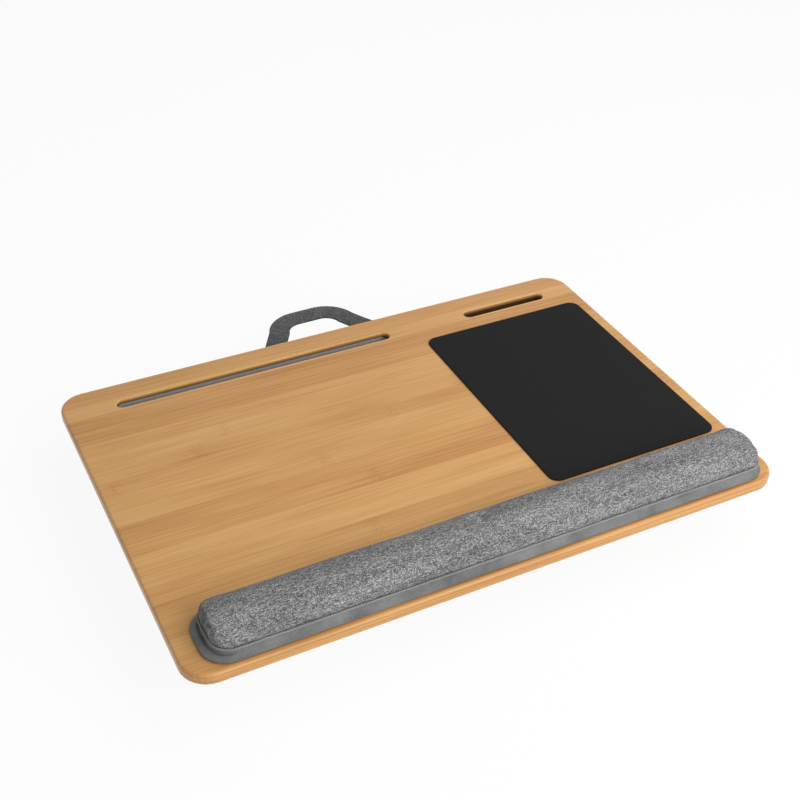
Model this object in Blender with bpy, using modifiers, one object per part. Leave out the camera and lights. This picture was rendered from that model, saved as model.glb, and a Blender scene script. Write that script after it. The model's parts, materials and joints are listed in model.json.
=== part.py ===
"""Lap desk: a slotted bamboo board on a two-bolster cushion, with a mouse pad and a wrist rest.

Units are metres, +Z is up, +X is the user's right and +Y points away from the user.
The origin lies on the floor under the middle of the whole outline, with the handle out.
"""

import math

import bmesh
import bpy

MM = 0.001

# Gap kept between neighbouring pieces, the overrun of cutters, and the distance for merging points
GAP = 0.3 * MM
OVERRUN = 4 * MM
MERGE_DISTANCE = 0.01 * MM

# Bamboo board
BOARD_WIDTH = 550 * MM
BOARD_DEPTH = 372 * MM
BOARD_THICKNESS = 11 * MM
BOARD_CORNER_RADIUS = 24 * MM
BOARD_EDGE_RADIUS = 2.5 * MM

# Long and short slot, through the board near its back edge; the long one takes the width left over
SLOT_WIDTH = 11.5 * MM
SLOT_BACK_MARGIN = 32 * MM
SLOT_MOUTH_CHAMFER = 0.8 * MM
SLOT_BRIDGE_WIDTH = 87.5 * MM
LONG_SLOT_SIDE_MARGIN = 49 * MM
SHORT_SLOT_LENGTH = 95 * MM
SHORT_SLOT_SIDE_MARGIN = 37 * MM

# Mouse pad, stuck on the board
PAD_WIDTH = 178 * MM
PAD_DEPTH = 239.5 * MM
PAD_THICKNESS = 1.2 * MM
PAD_EDGE_RADIUS = 0.4 * MM
PAD_CORNER_RADIUS = 10 * MM
PAD_SIDE_MARGIN = 13 * MM
PAD_FRONT_MARGIN = 75 * MM

# Wrist rest: tape, smooth base that flares at the bottom, and a bolster on it
TAPE_THICKNESS = 0.4 * MM
TAPE_WIDTH = 16 * MM
TAPE_SIDE_INSET = 30 * MM
TAPE_LANE_SPACING = 26 * MM
REST_FRONT_MARGIN = 3.7 * MM
REST_LEFT_MARGIN = 17 * MM
REST_RIGHT_MARGIN = 9 * MM
REST_BASE_DEPTH = 60.3 * MM
REST_BASE_HEIGHT = 8.5 * MM
REST_BASE_RADIUS = 22 * MM
REST_BASE_LEVEL_SHARES = (0.0, 0.35, 0.7, 1.0)
REST_LEFT_FLARE = 8 * MM
REST_RIGHT_FLARE = 5.5 * MM
REST_FRONT_FLARE = 4.4 * MM
REST_CROWN_HEIGHT = 18.5 * MM
REST_SEAM_DROP = 5 * MM
REST_END_RUN = 6 * MM
REST_CORNER_RADIUS = 16 * MM
REST_END_FALL_SHARE = 0.06
REST_END_FALL_LENGTH = 80 * MM
REST_CLOTH = 1.2 * MM
REST_FOAM_CLEARANCE = 0.5 * MM
REST_PIPING_RADIUS = 0.9 * MM
REST_SWELL_SHARE = 0.03
REST_SWELL_PITCH = 170 * MM

# Lap cushion: cloth panel under the board, with two filled bolsters sewn to it
PANEL_THICKNESS = 3 * MM
PANEL_EDGE_RADIUS = 1.2 * MM
PANEL_CORNER_RADIUS = 22 * MM
PANEL_SIDE_MARGIN = 20 * MM
PANEL_FRONT_MARGIN = 36 * MM
PANEL_BACK_MARGIN = 12 * MM
BOLSTER_WIDTH = 180 * MM
BOLSTER_SIDE_INSET = 5 * MM
BOLSTER_END_INSET = 8 * MM
BOLSTER_HEIGHT = 41 * MM
BOLSTER_TURN_UNDER = 46 * MM
BOLSTER_SEAM_INSET = 4 * MM
BOLSTER_CLOTH = 1.2 * MM
BOLSTER_FILL_CLEARANCE = 0.6 * MM
BOLSTER_PIPING_RADIUS = 1.5 * MM

# Hook-and-loop strips between the panel and the board
STRIP_THICKNESS = 1.2 * MM
STRIP_LENGTH = 90 * MM
STRIP_WIDTH = 20 * MM
STRIP_SIDE_INSET = 24 * MM
STRIP_END_INSET = 60 * MM

# Carry handle: two tabs on the panel and a strap that hinges behind the board's back edge
HANDLE_SPACING = 110 * MM
HANDLE_WIDTH = 21 * MM
HANDLE_THICKNESS = 3 * MM
HANDLE_EDGE_RADIUS = 1.1 * MM
HANDLE_REACH = 58 * MM
HANDLE_TAPER = 17 * MM
HANDLE_BEND_RADIUS = 26 * MM
HANDLE_HINGE_OFFSET = 4 * MM
TAB_THICKNESS = 2.4 * MM
TAB_LENGTH = 26 * MM

# Zip under the panel, between the bolsters
ZIP_LENGTH = 180 * MM
ZIP_PITCH = 3 * MM
ZIP_TOOTH_REACH = 1.7 * MM
ZIP_SPINE_START = 2 * MM
ZIP_SPINE_END = 3.2 * MM
ZIP_TEETH_THICKNESS = 2 * MM
ZIP_TAPE_WIDTH = 12 * MM
ZIP_TAPE_THICKNESS = 0.8 * MM
ZIP_TAPE_OVERHANG = 8 * MM
ZIP_STOP_LENGTH = 3 * MM
ZIP_STOP_MARGIN = 0.5 * MM

# Slider: a channel that runs over the teeth, with a bridge that holds the pull tab
SLIDER_LENGTH = 12 * MM
SLIDER_PLATE = 1.2 * MM
SLIDER_WALL = 1.3 * MM
SLIDER_NOSE_RADIUS = 2.5 * MM
BRIDGE_LENGTH = 7 * MM
BRIDGE_HEIGHT = 4.2 * MM
BRIDGE_STRAP = 1.2 * MM
BRIDGE_WIDTH = 2.4 * MM
BRIDGE_SINK = 0.4 * MM
PULL_LENGTH = 24 * MM
PULL_WIDTH = 7.4 * MM
PULL_THICKNESS = 1.4 * MM
PULL_EDGE_RADIUS = 0.3 * MM
PULL_CORNER_RADIUS = 3 * MM
PULL_WINDOW_LENGTH = 4.4 * MM
PULL_WINDOW_SIDE_CLEARANCE = 0.5 * MM
PULL_HOLE_LENGTH = 8 * MM
PULL_HOLE_WIDTH = 3 * MM

# Steps along round stretches
CORNER_STEPS = 8
SLOT_END_STEPS = 8
SMALL_CORNER_STEPS = 4
EDGE_STEPS = 2
REST_STATIONS = 22
REST_LEVELS = 8
REST_CORNER_STEPS = 5
BOLSTER_RINGS = 9
BOLSTER_PLAN_STEPS = 44
BOLSTER_PLAN_POWER = 7.0

# Heights of the stack, from the floor up
PIPING_Z = BOLSTER_HEIGHT + GAP + BOLSTER_PIPING_RADIUS
PANEL_BOTTOM = PIPING_Z + BOLSTER_PIPING_RADIUS + GAP
PANEL_TOP = PANEL_BOTTOM + PANEL_THICKNESS
LOOP_BOTTOM = PANEL_TOP + GAP
HOOK_BOTTOM = LOOP_BOTTOM + STRIP_THICKNESS + GAP
BOARD_BOTTOM = HOOK_BOTTOM + STRIP_THICKNESS + GAP
BOARD_TOP = BOARD_BOTTOM + BOARD_THICKNESS
TAPE_BOTTOM = BOARD_TOP + GAP
REST_BOTTOM = TAPE_BOTTOM + TAPE_THICKNESS + GAP
REST_BASE_TOP = REST_BOTTOM + REST_BASE_HEIGHT
REST_SEAM_Z = REST_BASE_TOP + GAP

# Places in plan, from the board's edges inwards
BOARD_RIGHT = BOARD_WIDTH / 2
BOARD_FRONT = -(BOARD_DEPTH + HANDLE_HINGE_OFFSET + HANDLE_REACH) / 2
BOARD_BACK = BOARD_FRONT + BOARD_DEPTH
SLOT_Y = BOARD_BACK - SLOT_BACK_MARGIN
SHORT_SLOT_LEFT = BOARD_RIGHT - SHORT_SLOT_SIDE_MARGIN - SHORT_SLOT_LENGTH
LONG_SLOT_LEFT = -BOARD_RIGHT + LONG_SLOT_SIDE_MARGIN
LONG_SLOT_LENGTH = SHORT_SLOT_LEFT - SLOT_BRIDGE_WIDTH - LONG_SLOT_LEFT
PANEL_RIGHT = BOARD_RIGHT - PANEL_SIDE_MARGIN
PANEL_FRONT = BOARD_FRONT + PANEL_FRONT_MARGIN
PANEL_BACK = BOARD_BACK - PANEL_BACK_MARGIN
PANEL_DEPTH = PANEL_BACK - PANEL_FRONT
PANEL_MIDDLE_Y = (PANEL_FRONT + PANEL_BACK) / 2
HINGE_Y = BOARD_BACK + HANDLE_HINGE_OFFSET
TAB_BOTTOM = PANEL_TOP + GAP
HINGE_Z = TAB_BOTTOM + TAB_THICKNESS / 2

# Base of the wrist rest in plan, at its flared bottom edge
REST_LEFT = -BOARD_RIGHT + REST_LEFT_MARGIN
REST_RIGHT = BOARD_RIGHT - REST_RIGHT_MARGIN
REST_FRONT = BOARD_FRONT + REST_FRONT_MARGIN
REST_BACK = REST_FRONT + REST_BASE_DEPTH
REST_MIDDLE_Y = (REST_FRONT + REST_BACK) / 2
REST_HALF_DEPTH = REST_BASE_DEPTH / 2 - REST_FRONT_FLARE
REST_COVER_LEFT = REST_LEFT + REST_LEFT_FLARE
REST_COVER_RIGHT = REST_RIGHT - REST_RIGHT_FLARE
REST_RISE = REST_CROWN_HEIGHT - REST_SEAM_DROP

# Mouse pad and free area in plan
PAD_RIGHT = BOARD_RIGHT - PAD_SIDE_MARGIN
PAD_LEFT = PAD_RIGHT - PAD_WIDTH
PAD_FRONT = BOARD_FRONT + PAD_FRONT_MARGIN

# Levels of the zip, downwards from the panel's underside
ZIP_TOP = PANEL_BOTTOM - GAP
TEETH_BOTTOM = ZIP_TOP - ZIP_TEETH_THICKNESS
SLIDER_TOP = TEETH_BOTTOM - GAP
SLIDER_BOTTOM = SLIDER_TOP - SLIDER_PLATE
BRIDGE_OPENING = BRIDGE_HEIGHT - BRIDGE_STRAP
PULL_AXIS_Z = SLIDER_BOTTOM - BRIDGE_OPENING / 2
SLIDER_REST_Y = PANEL_MIDDLE_Y + ZIP_LENGTH / 2 - ZIP_STOP_MARGIN - SLIDER_LENGTH / 2


def clear_scene():
    """Remove every object of the scene that the script starts in."""
    for item in list(bpy.data.objects):
        bpy.data.objects.remove(item, do_unlink=True)


def new_collection(name):
    """Make a collection under the scene."""
    group = bpy.data.collections.new(name)
    bpy.context.scene.collection.children.link(group)
    return group


def new_material(name, colour, roughness, metallic=0.0):
    """Make a Principled material of one linear colour."""
    material = bpy.data.materials.new(name)
    material.use_nodes = True
    shader = material.node_tree.nodes["Principled BSDF"]
    shader.inputs["Base Color"].default_value = (*colour, 1.0)
    shader.inputs["Roughness"].default_value = roughness
    shader.inputs["Metallic"].default_value = metallic
    return material


def add_object(name, data, group, material=None, location=(0, 0, 0)):
    """Put mesh or curve data into a collection as an object."""
    item = bpy.data.objects.new(name, data)
    item.location = location
    if material:
        data.materials.append(material)
    group.objects.link(item)
    return item


def add_cutter(name, data, group, location=(0, 0, 0)):
    """Put a mesh into the cutters' collection, drawn as wires and kept out of renders."""
    item = add_object(name, data, group, location=location)
    item.hide_render = True
    item.display_type = "WIRE"
    return item


def cut(target, cutter, operation="DIFFERENCE"):
    """Add an exact Boolean modifier to the target."""
    modifier = target.modifiers.new(cutter.name, "BOOLEAN")
    modifier.operation = operation
    modifier.object = cutter


def smooth(item, angle=math.radians(35)):
    """Shade a mesh object smooth, except across sharp edges."""
    item.data.shade_smooth()
    item.data.set_sharp_from_angle(angle=angle)


def rounded_rectangle(left, right, front, back, radius, steps=CORNER_STEPS):
    """Outline of a rectangle with round corners, counter-clockwise."""
    centres = (
        (right - radius, back - radius),
        (left + radius, back - radius),
        (left + radius, front + radius),
        (right - radius, front + radius),
    )
    points = []
    for quarter, (x, y) in enumerate(centres):
        for step in range(steps + 1):
            angle = math.pi / 2 * (quarter + step / steps)
            points.append((x + radius * math.cos(angle), y + radius * math.sin(angle)))
    return points


def slot_outline(left, length, half_width):
    """Outline of a slot with round ends whose middle line lies on y = 0."""
    return rounded_rectangle(left, left + length, -half_width, half_width, half_width, SLOT_END_STEPS)


def plate_mesh(name, outlines, thickness, edge_radius=0.0):
    """Mesh of a flat plate: 2D outlines, the first outside and the rest holes, extruded about z = 0."""
    curve = bpy.data.curves.new(name, "CURVE")
    curve.dimensions = "2D"
    curve.fill_mode = "BOTH"
    curve.extrude = thickness / 2 - edge_radius
    curve.bevel_depth = edge_radius
    curve.bevel_resolution = EDGE_STEPS
    curve.offset = -edge_radius
    for outline in outlines:
        spline = curve.splines.new("POLY")
        spline.points.add(len(outline) - 1)
        for point, (x, y) in zip(spline.points, outline):
            point.co = (x, y, 0, 1)
        spline.use_cyclic_u = True
    return curve_to_mesh(curve)


def curve_to_mesh(curve):
    """Turn curve data into a closed mesh with its caps welded on."""
    carrier = bpy.data.objects.new(curve.name, curve)
    bpy.context.scene.collection.objects.link(carrier)
    bpy.context.view_layer.update()
    evaluated = carrier.evaluated_get(bpy.context.evaluated_depsgraph_get())
    mesh = bpy.data.meshes.new_from_object(evaluated)
    bpy.data.objects.remove(carrier, do_unlink=True)
    mesh.name = curve.name
    shape = bmesh.new()
    shape.from_mesh(mesh)
    bmesh.ops.remove_doubles(shape, verts=shape.verts, dist=MERGE_DISTANCE)
    bmesh.ops.recalc_face_normals(shape, faces=shape.faces)
    shape.to_mesh(mesh)
    shape.free()
    return mesh


def tube_mesh(name, path, radius, closed):
    """Mesh of a round cord along a list of points."""
    curve = bpy.data.curves.new(name, "CURVE")
    curve.dimensions = "3D"
    curve.bevel_depth = radius
    curve.bevel_resolution = 1
    curve.use_fill_caps = True
    spline = curve.splines.new("POLY")
    spline.points.add(len(path) - 1)
    for point, place in zip(spline.points, path):
        point.co = (*place, 1)
    spline.use_cyclic_u = closed
    return curve_to_mesh(curve)


def box_mesh(name, size):
    """Mesh of a box about the origin."""
    shape = bmesh.new()
    bmesh.ops.create_cube(shape, size=1)
    bmesh.ops.scale(shape, vec=size, verts=shape.verts)
    mesh = bpy.data.meshes.new(name)
    shape.to_mesh(mesh)
    shape.free()
    return mesh


def add_block(name, size, centre, group, material):
    """Add a plain block, such as a strip or a tab, about its centre."""
    return add_object(name, box_mesh(name, size), group, material, centre)


def loft_mesh(name, sections, open_top=False):
    """Mesh through flat sections (outline, z) from the bottom up, capped at the ends."""
    shape = bmesh.new()
    rings = [[shape.verts.new((x, y, z)) for x, y in outline] for outline, z in sections]
    count = len(rings[0])
    for lower, upper in zip(rings, rings[1:]):
        for here in range(count):
            after = (here + 1) % count
            shape.faces.new((lower[here], lower[after], upper[after], upper[here]))
    shape.faces.new(rings[0][::-1])
    if not open_top:
        shape.faces.new(rings[-1])
    mesh = bpy.data.meshes.new(name)
    shape.to_mesh(mesh)
    shape.free()
    return mesh


def slot_cutter_mesh(name, left, length):
    """Cutter for one slot, flared where it leaves the board's top and bottom faces."""
    half = SLOT_WIDTH / 2
    flare = SLOT_MOUTH_CHAMFER
    face = BOARD_THICKNESS / 2
    wide = slot_outline(left - flare - OVERRUN, length + 2 * (flare + OVERRUN), half + flare + OVERRUN)
    narrow = slot_outline(left, length, half)
    levels = (
        (wide, -face - OVERRUN),
        (narrow, -face + flare),
        (narrow, face - flare),
        (wide, face + OVERRUN),
    )
    return loft_mesh(name, levels)


def build_board(parts, cutters, material):
    """Bamboo board with its two slots."""
    outline = rounded_rectangle(
        -BOARD_RIGHT, BOARD_RIGHT, BOARD_FRONT, BOARD_BACK, BOARD_CORNER_RADIUS
    )
    middle = BOARD_BOTTOM + BOARD_THICKNESS / 2
    mesh = plate_mesh("bamboo_board", [outline], BOARD_THICKNESS, BOARD_EDGE_RADIUS)
    board = add_object("bamboo_board", mesh, parts, material, (0, 0, middle))
    slots = (
        ("long_slot_cutter", LONG_SLOT_LEFT, LONG_SLOT_LENGTH),
        ("short_slot_cutter", SHORT_SLOT_LEFT, SHORT_SLOT_LENGTH),
    )
    for name, left, length in slots:
        cutter = add_cutter(name, slot_cutter_mesh(name, left, length), cutters, (0, SLOT_Y, middle))
        cut(board, cutter)
    smooth(board)


def build_mouse_pad(parts, material):
    """Black mouse pad on the board's right half."""
    outline = rounded_rectangle(PAD_LEFT, PAD_RIGHT, PAD_FRONT, PAD_FRONT + PAD_DEPTH, PAD_CORNER_RADIUS)
    mesh = plate_mesh("mouse_pad", [outline], PAD_THICKNESS, PAD_EDGE_RADIUS)
    pad = add_object("mouse_pad", mesh, parts, material, (0, 0, BOARD_TOP + GAP + PAD_THICKNESS / 2))
    smooth(pad)


def rest_share(x):
    """Share of the full crown height at x: less towards the right end, with a slight swell."""
    reach = (REST_COVER_RIGHT - x) / REST_END_FALL_LENGTH
    fall = REST_END_FALL_SHARE * max(0.0, 1 - reach) ** 2
    return 1 - fall + REST_SWELL_SHARE * math.sin(2 * math.pi * x / REST_SWELL_PITCH)


def rest_outline(shrink, inset):
    """Plan of the wrist rest's bolster at one level, counter-clockwise from its right end.

    The shrink is 1 at the widest level and 0 at the ridge, where the two long sides meet. Both long
    sides are divided at the same places, so there their points fall together.
    """
    end = REST_END_RUN - (REST_END_RUN - inset) * shrink
    half_depth = (REST_HALF_DEPTH - inset) * shrink
    corners = rounded_rectangle(
        REST_COVER_LEFT + end,
        REST_COVER_RIGHT - end,
        REST_MIDDLE_Y - half_depth,
        REST_MIDDLE_Y + half_depth,
        (REST_CORNER_RADIUS - inset) * shrink,
        REST_CORNER_STEPS,
    )
    half = len(corners) // 2
    points = []
    for side in (corners[:half], corners[half:]):
        first, last = side[: half // 2], side[half // 2 :]
        run = last[0][0] - first[-1][0]
        points += first
        points += [
            (first[-1][0] + run * step / REST_STATIONS, first[-1][1]) for step in range(1, REST_STATIONS)
        ]
        points += last
    return points


def rest_form_mesh(name, inset, closed):
    """Mesh of the wrist rest's bolster: a pillow from its seam up to its ridge.

    A level's section is an ellipse whose middle lies above the seam, so the sides draw in to the seam.
    """
    rise = REST_RISE - inset
    start = math.asin(REST_SEAM_DROP / REST_RISE)
    foot = REST_SEAM_DROP - rise * math.sin(start)
    shape = bmesh.new()
    rings = []
    for level in range(REST_LEVELS + 1):
        angle = (math.pi / 2 + start) * level / REST_LEVELS - start
        height = rise * (math.sin(angle) + math.sin(start))
        outline = rest_outline(math.cos(angle), inset)
        rings.append(
            [shape.verts.new((x, y, REST_SEAM_Z + foot + height * rest_share(x))) for x, y in outline]
        )
    count = len(rings[0])
    for lower, upper in zip(rings, rings[1:]):
        for here in range(count):
            after = (here + 1) % count
            shape.faces.new((lower[here], lower[after], upper[after], upper[here]))
    if closed:
        shape.faces.new(rings[0][::-1])
    bmesh.ops.remove_doubles(shape, verts=shape.verts, dist=MERGE_DISTANCE)
    mesh = bpy.data.meshes.new(name)
    shape.to_mesh(mesh)
    shape.free()
    return mesh


def build_wrist_rest(parts, linen, suede, foam, tape):
    """Tape, flared base, foam, woven cover and seam cord of the wrist rest."""
    tape_size = (REST_RIGHT - REST_LEFT - 2 * TAPE_SIDE_INSET, TAPE_WIDTH, TAPE_THICKNESS)
    middle_x = (REST_LEFT + REST_RIGHT) / 2
    for lane, side in (("front", -1), ("back", 1)):
        place = (middle_x, REST_MIDDLE_Y + side * TAPE_LANE_SPACING / 2, TAPE_BOTTOM + TAPE_THICKNESS / 2)
        add_block("wrist_rest_tape_" + lane, tape_size, place, parts, tape)

    levels = []
    for share in REST_BASE_LEVEL_SHARES:
        flare = math.sqrt(share)
        edge = REST_FRONT_FLARE * flare
        left, right = REST_LEFT + REST_LEFT_FLARE * flare, REST_RIGHT - REST_RIGHT_FLARE * flare
        front, back = REST_FRONT + edge, REST_BACK - edge
        outline = rounded_rectangle(left, right, front, back, REST_BASE_RADIUS - edge)
        levels.append((outline, REST_BOTTOM + REST_BASE_HEIGHT * share))
    base = add_object("wrist_rest_base", loft_mesh("wrist_rest_base", levels), parts, suede)
    smooth(base)

    cover = add_object("wrist_rest_cover", rest_form_mesh("wrist_rest_cover", 0.0, False), parts, linen)
    smooth(cover)
    wall = cover.modifiers.new("cloth", "SOLIDIFY")
    wall.thickness = REST_CLOTH
    wall.offset = -1
    inset = REST_CLOTH + REST_FOAM_CLEARANCE
    core = add_object("wrist_rest_foam", rest_form_mesh("wrist_rest_foam", inset, True), parts, foam)
    smooth(core)

    slope = (2 * REST_PIPING_RADIUS - REST_SEAM_DROP) / REST_RISE
    cord = rest_outline(math.sqrt(1 - slope**2), -GAP - REST_PIPING_RADIUS)
    path = [(x, y, REST_SEAM_Z + REST_PIPING_RADIUS) for x, y in cord]
    mesh = tube_mesh("wrist_rest_piping", path, REST_PIPING_RADIUS, True)
    smooth(add_object("wrist_rest_piping", mesh, parts, linen))


def bolster_outline(half_width, half_depth):
    """Plan outline of a bolster: a superellipse, so the sides bow and the corners are round."""
    points = []
    for step in range(BOLSTER_PLAN_STEPS):
        angle = 2 * math.pi * step / BOLSTER_PLAN_STEPS
        across = math.copysign(abs(math.cos(angle)) ** (2 / BOLSTER_PLAN_POWER), math.cos(angle))
        along = math.copysign(abs(math.sin(angle)) ** (2 / BOLSTER_PLAN_POWER), math.sin(angle))
        points.append((half_width * across, half_depth * along))
    return points


def bolster_sections(inset, top):
    """Sections of a bolster from its flat foot up to its seam, drawn in at the seam."""
    half_width = BOLSTER_WIDTH / 2 - inset
    half_depth = PANEL_DEPTH / 2 - BOLSTER_END_INSET - inset
    sections = []
    for ring in range(BOLSTER_RINGS + 1):
        angle = math.pi / 2 * ring / BOLSTER_RINGS
        turn = BOLSTER_TURN_UNDER * (1 - math.sin(angle))
        seam = BOLSTER_SEAM_INSET * math.sin(angle) ** 6
        z = inset + (top - inset) * (1 - math.cos(angle))
        sections.append((bolster_outline(half_width - turn - seam, half_depth - turn - seam), z))
    return sections


def build_bolster(side_name, side, parts, linen, fill_material):
    """Cover, fill and piping of one lap bolster; side is -1 for the left one and 1 for the right."""
    x = side * (PANEL_RIGHT - BOLSTER_SIDE_INSET - BOLSTER_WIDTH / 2)
    place = (x, PANEL_MIDDLE_Y, 0)
    name = side_name + "_bolster_cover"
    skin = loft_mesh(name, bolster_sections(0.0, BOLSTER_HEIGHT), open_top=True)
    cover = add_object(name, skin, parts, linen, place)
    smooth(cover)
    wall = cover.modifiers.new("cloth", "SOLIDIFY")
    wall.thickness = BOLSTER_CLOTH
    wall.offset = -1
    name = side_name + "_bolster_fill"
    inset = BOLSTER_CLOTH + BOLSTER_FILL_CLEARANCE
    fill = loft_mesh(name, bolster_sections(inset, BOLSTER_HEIGHT))
    smooth(add_object(name, fill, parts, fill_material, place))
    name = side_name + "_bolster_piping"
    rim = bolster_sections(BOLSTER_CLOTH / 2, BOLSTER_HEIGHT)[-1][0]
    path = [(px, py, PIPING_Z) for px, py in rim]
    smooth(add_object(name, tube_mesh(name, path, BOLSTER_PIPING_RADIUS, True), parts, linen, place))


def build_panel(parts, suede):
    """Cloth panel that carries the bolsters, right under the board."""
    outline = rounded_rectangle(-PANEL_RIGHT, PANEL_RIGHT, PANEL_FRONT, PANEL_BACK, PANEL_CORNER_RADIUS)
    mesh = plate_mesh("cushion_panel", [outline], PANEL_THICKNESS, PANEL_EDGE_RADIUS)
    middle = PANEL_BOTTOM + PANEL_THICKNESS / 2
    smooth(add_object("cushion_panel", mesh, parts, suede, (0, 0, middle)))


def build_strips(kind, bottom, parts, material):
    """Four strips of one half of the hook-and-loop fixing, one near each corner of the panel."""
    x = PANEL_RIGHT - STRIP_SIDE_INSET - STRIP_LENGTH / 2
    y = PANEL_DEPTH / 2 - STRIP_END_INSET
    size = (STRIP_LENGTH, STRIP_WIDTH, STRIP_THICKNESS)
    for along_name, along in (("front", -1), ("back", 1)):
        for across_name, across in (("left", -1), ("right", 1)):
            name = f"{kind}_strip_{along_name}_{across_name}"
            place = (across * x, PANEL_MIDDLE_Y + along * y, bottom + STRIP_THICKNESS / 2)
            add_block(name, size, place, parts, material)


def arc_points(centre, radius, start, end, steps):
    """Points on an arc from the start angle to the end angle, in degrees."""
    points = []
    for step in range(steps + 1):
        angle = math.radians(start + (end - start) * step / steps)
        points.append((centre[0] + radius * math.cos(angle), centre[1] + radius * math.sin(angle)))
    return points


def handle_edge(offset):
    """Right half of the strap's plan edge, offset from its middle line, from the root to the middle.

    The leg leans inwards from the root, and an arc joins it to the straight stretch at the back.
    """
    root_x = HANDLE_SPACING / 2 + offset
    lean = math.degrees(math.atan2(HANDLE_TAPER, HANDLE_REACH))
    radius = HANDLE_BEND_RADIUS + offset
    centre_y = HANDLE_REACH - HANDLE_WIDTH / 2 - HANDLE_BEND_RADIUS
    centre_x = HANDLE_SPACING / 2 - HANDLE_TAPER - HANDLE_BEND_RADIUS
    root = (root_x, -HANDLE_THICKNESS / 2)
    return [root] + arc_points((centre_x, centre_y), radius, lean, 90, CORNER_STEPS)


def build_handle(parts, webbing):
    """Two tabs fixed on the panel, and the strap whose hinge line is its own origin."""
    seam = HANDLE_THICKNESS / 2 + GAP
    tab_size = (HANDLE_WIDTH, TAB_LENGTH, TAB_THICKNESS)
    for side_name, side in (("left", -1), ("right", 1)):
        place = (side * HANDLE_SPACING / 2, HINGE_Y - seam - TAB_LENGTH / 2, HINGE_Z)
        add_block("handle_tab_" + side_name, tab_size, place, parts, webbing)

    hinge = bpy.data.objects.new("handle_hinge", None)
    hinge.location = (0, HINGE_Y, HINGE_Z)
    parts.objects.link(hinge)
    outer = handle_edge(HANDLE_WIDTH / 2)
    inner = handle_edge(-HANDLE_WIDTH / 2)
    left_outer = [(-x, y) for x, y in reversed(outer)]
    left_inner = [(-x, y) for x, y in inner]
    outline = outer + left_outer + left_inner + inner[::-1]
    mesh = plate_mesh("handle_strap", [outline], HANDLE_THICKNESS, HANDLE_EDGE_RADIUS)
    strap = add_object("handle_strap", mesh, parts, webbing)
    strap.parent = hinge
    smooth(strap)


def comb_outline(side, phase):
    """Outline of one row of zip teeth, counter-clockwise: a spine with teeth past the middle line."""
    spine_in = ZIP_SPINE_START
    spine_out = ZIP_SPINE_END
    half = ZIP_LENGTH / 2
    tooth = ZIP_PITCH / 2 - GAP
    count = int(ZIP_LENGTH / ZIP_PITCH)
    points = [(side * spine_out, -half), (side * spine_out, half), (side * spine_in, half)]
    for number in reversed(range(count)):
        low = -half + ZIP_PITCH * (number + phase) + GAP / 2
        high = low + tooth
        points.append((side * spine_in, high))
        points.append((-side * ZIP_TOOTH_REACH, high))
        points.append((-side * ZIP_TOOTH_REACH, low))
        points.append((side * spine_in, low))
    points.append((side * spine_in, -half))
    return points[::side]


def build_zip(parts, cutters, tape_material, metal):
    """Tapes, teeth, stops, slider and pull tab of the zip under the panel."""
    for side_name, side, phase in (("left", -1, 0.0), ("right", 1, 0.5)):
        name = "zipper_teeth_" + side_name
        comb = comb_outline(side, phase)
        teeth = loft_mesh(name, [(comb, TEETH_BOTTOM), (comb, ZIP_TOP)])
        add_object(name, teeth, parts, metal, (0, PANEL_MIDDLE_Y, 0))
        name = "zipper_tape_" + side_name
        tape_length = ZIP_LENGTH + 2 * ZIP_TAPE_OVERHANG
        tape = box_mesh(name, (ZIP_TAPE_WIDTH, tape_length, ZIP_TAPE_THICKNESS))
        tape_x = side * (ZIP_SPINE_END + GAP + ZIP_TAPE_WIDTH / 2)
        tape_place = (tape_x, PANEL_MIDDLE_Y, ZIP_TOP - ZIP_TAPE_THICKNESS / 2)
        add_object(name, tape, parts, tape_material, tape_place)

    stop_size = (2 * ZIP_SPINE_END, ZIP_STOP_LENGTH, ZIP_TEETH_THICKNESS + GAP + SLIDER_PLATE)
    reach = ZIP_LENGTH / 2 + GAP + ZIP_STOP_LENGTH / 2
    for end_name, end in (("front", -1), ("back", 1)):
        place = (0, PANEL_MIDDLE_Y + end * reach, ZIP_TOP - stop_size[2] / 2)
        add_block("zipper_stop_" + end_name, stop_size, place, parts, metal)
    build_slider(parts, cutters, metal)
    build_pull(parts, metal)


def build_slider(parts, cutters, metal):
    """Channel of the slider, with the bridge that the pull tab hangs on."""
    inner = ZIP_SPINE_END + GAP
    outer = inner + SLIDER_WALL
    wall_top = ZIP_TOP - ZIP_TAPE_THICKNESS - GAP
    body_height = wall_top - SLIDER_BOTTOM
    half = SLIDER_LENGTH / 2
    outline = rounded_rectangle(-outer, outer, -half, half, SLIDER_NOSE_RADIUS, SMALL_CORNER_STEPS)
    place = (0, SLIDER_REST_Y, SLIDER_BOTTOM + body_height / 2)
    body = plate_mesh("zipper_slider", [outline], body_height)
    slider = add_object("zipper_slider", body, parts, metal, place)

    channel_height = wall_top - SLIDER_TOP + OVERRUN
    channel = box_mesh("slider_channel_cutter", (2 * inner, SLIDER_LENGTH + OVERRUN, channel_height))
    channel_place = (0, SLIDER_REST_Y, SLIDER_TOP + channel_height / 2)
    cut(slider, add_cutter("slider_channel_cutter", channel, cutters, channel_place))

    bridge_block = box_mesh("slider_bridge", (BRIDGE_WIDTH, BRIDGE_LENGTH, BRIDGE_HEIGHT + BRIDGE_SINK))
    bridge_z = SLIDER_BOTTOM - (BRIDGE_HEIGHT - BRIDGE_SINK) / 2
    bridge = add_cutter("slider_bridge", bridge_block, cutters, (0, SLIDER_REST_Y, bridge_z))
    cut(slider, bridge, "UNION")
    opening_size = (BRIDGE_WIDTH + OVERRUN, BRIDGE_LENGTH - 2 * BRIDGE_STRAP, BRIDGE_OPENING)
    opening_place = (0, SLIDER_REST_Y, SLIDER_BOTTOM - BRIDGE_OPENING / 2)
    opening = box_mesh("bridge_opening_cutter", opening_size)
    cut(slider, add_cutter("bridge_opening_cutter", opening, cutters, opening_place))


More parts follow.
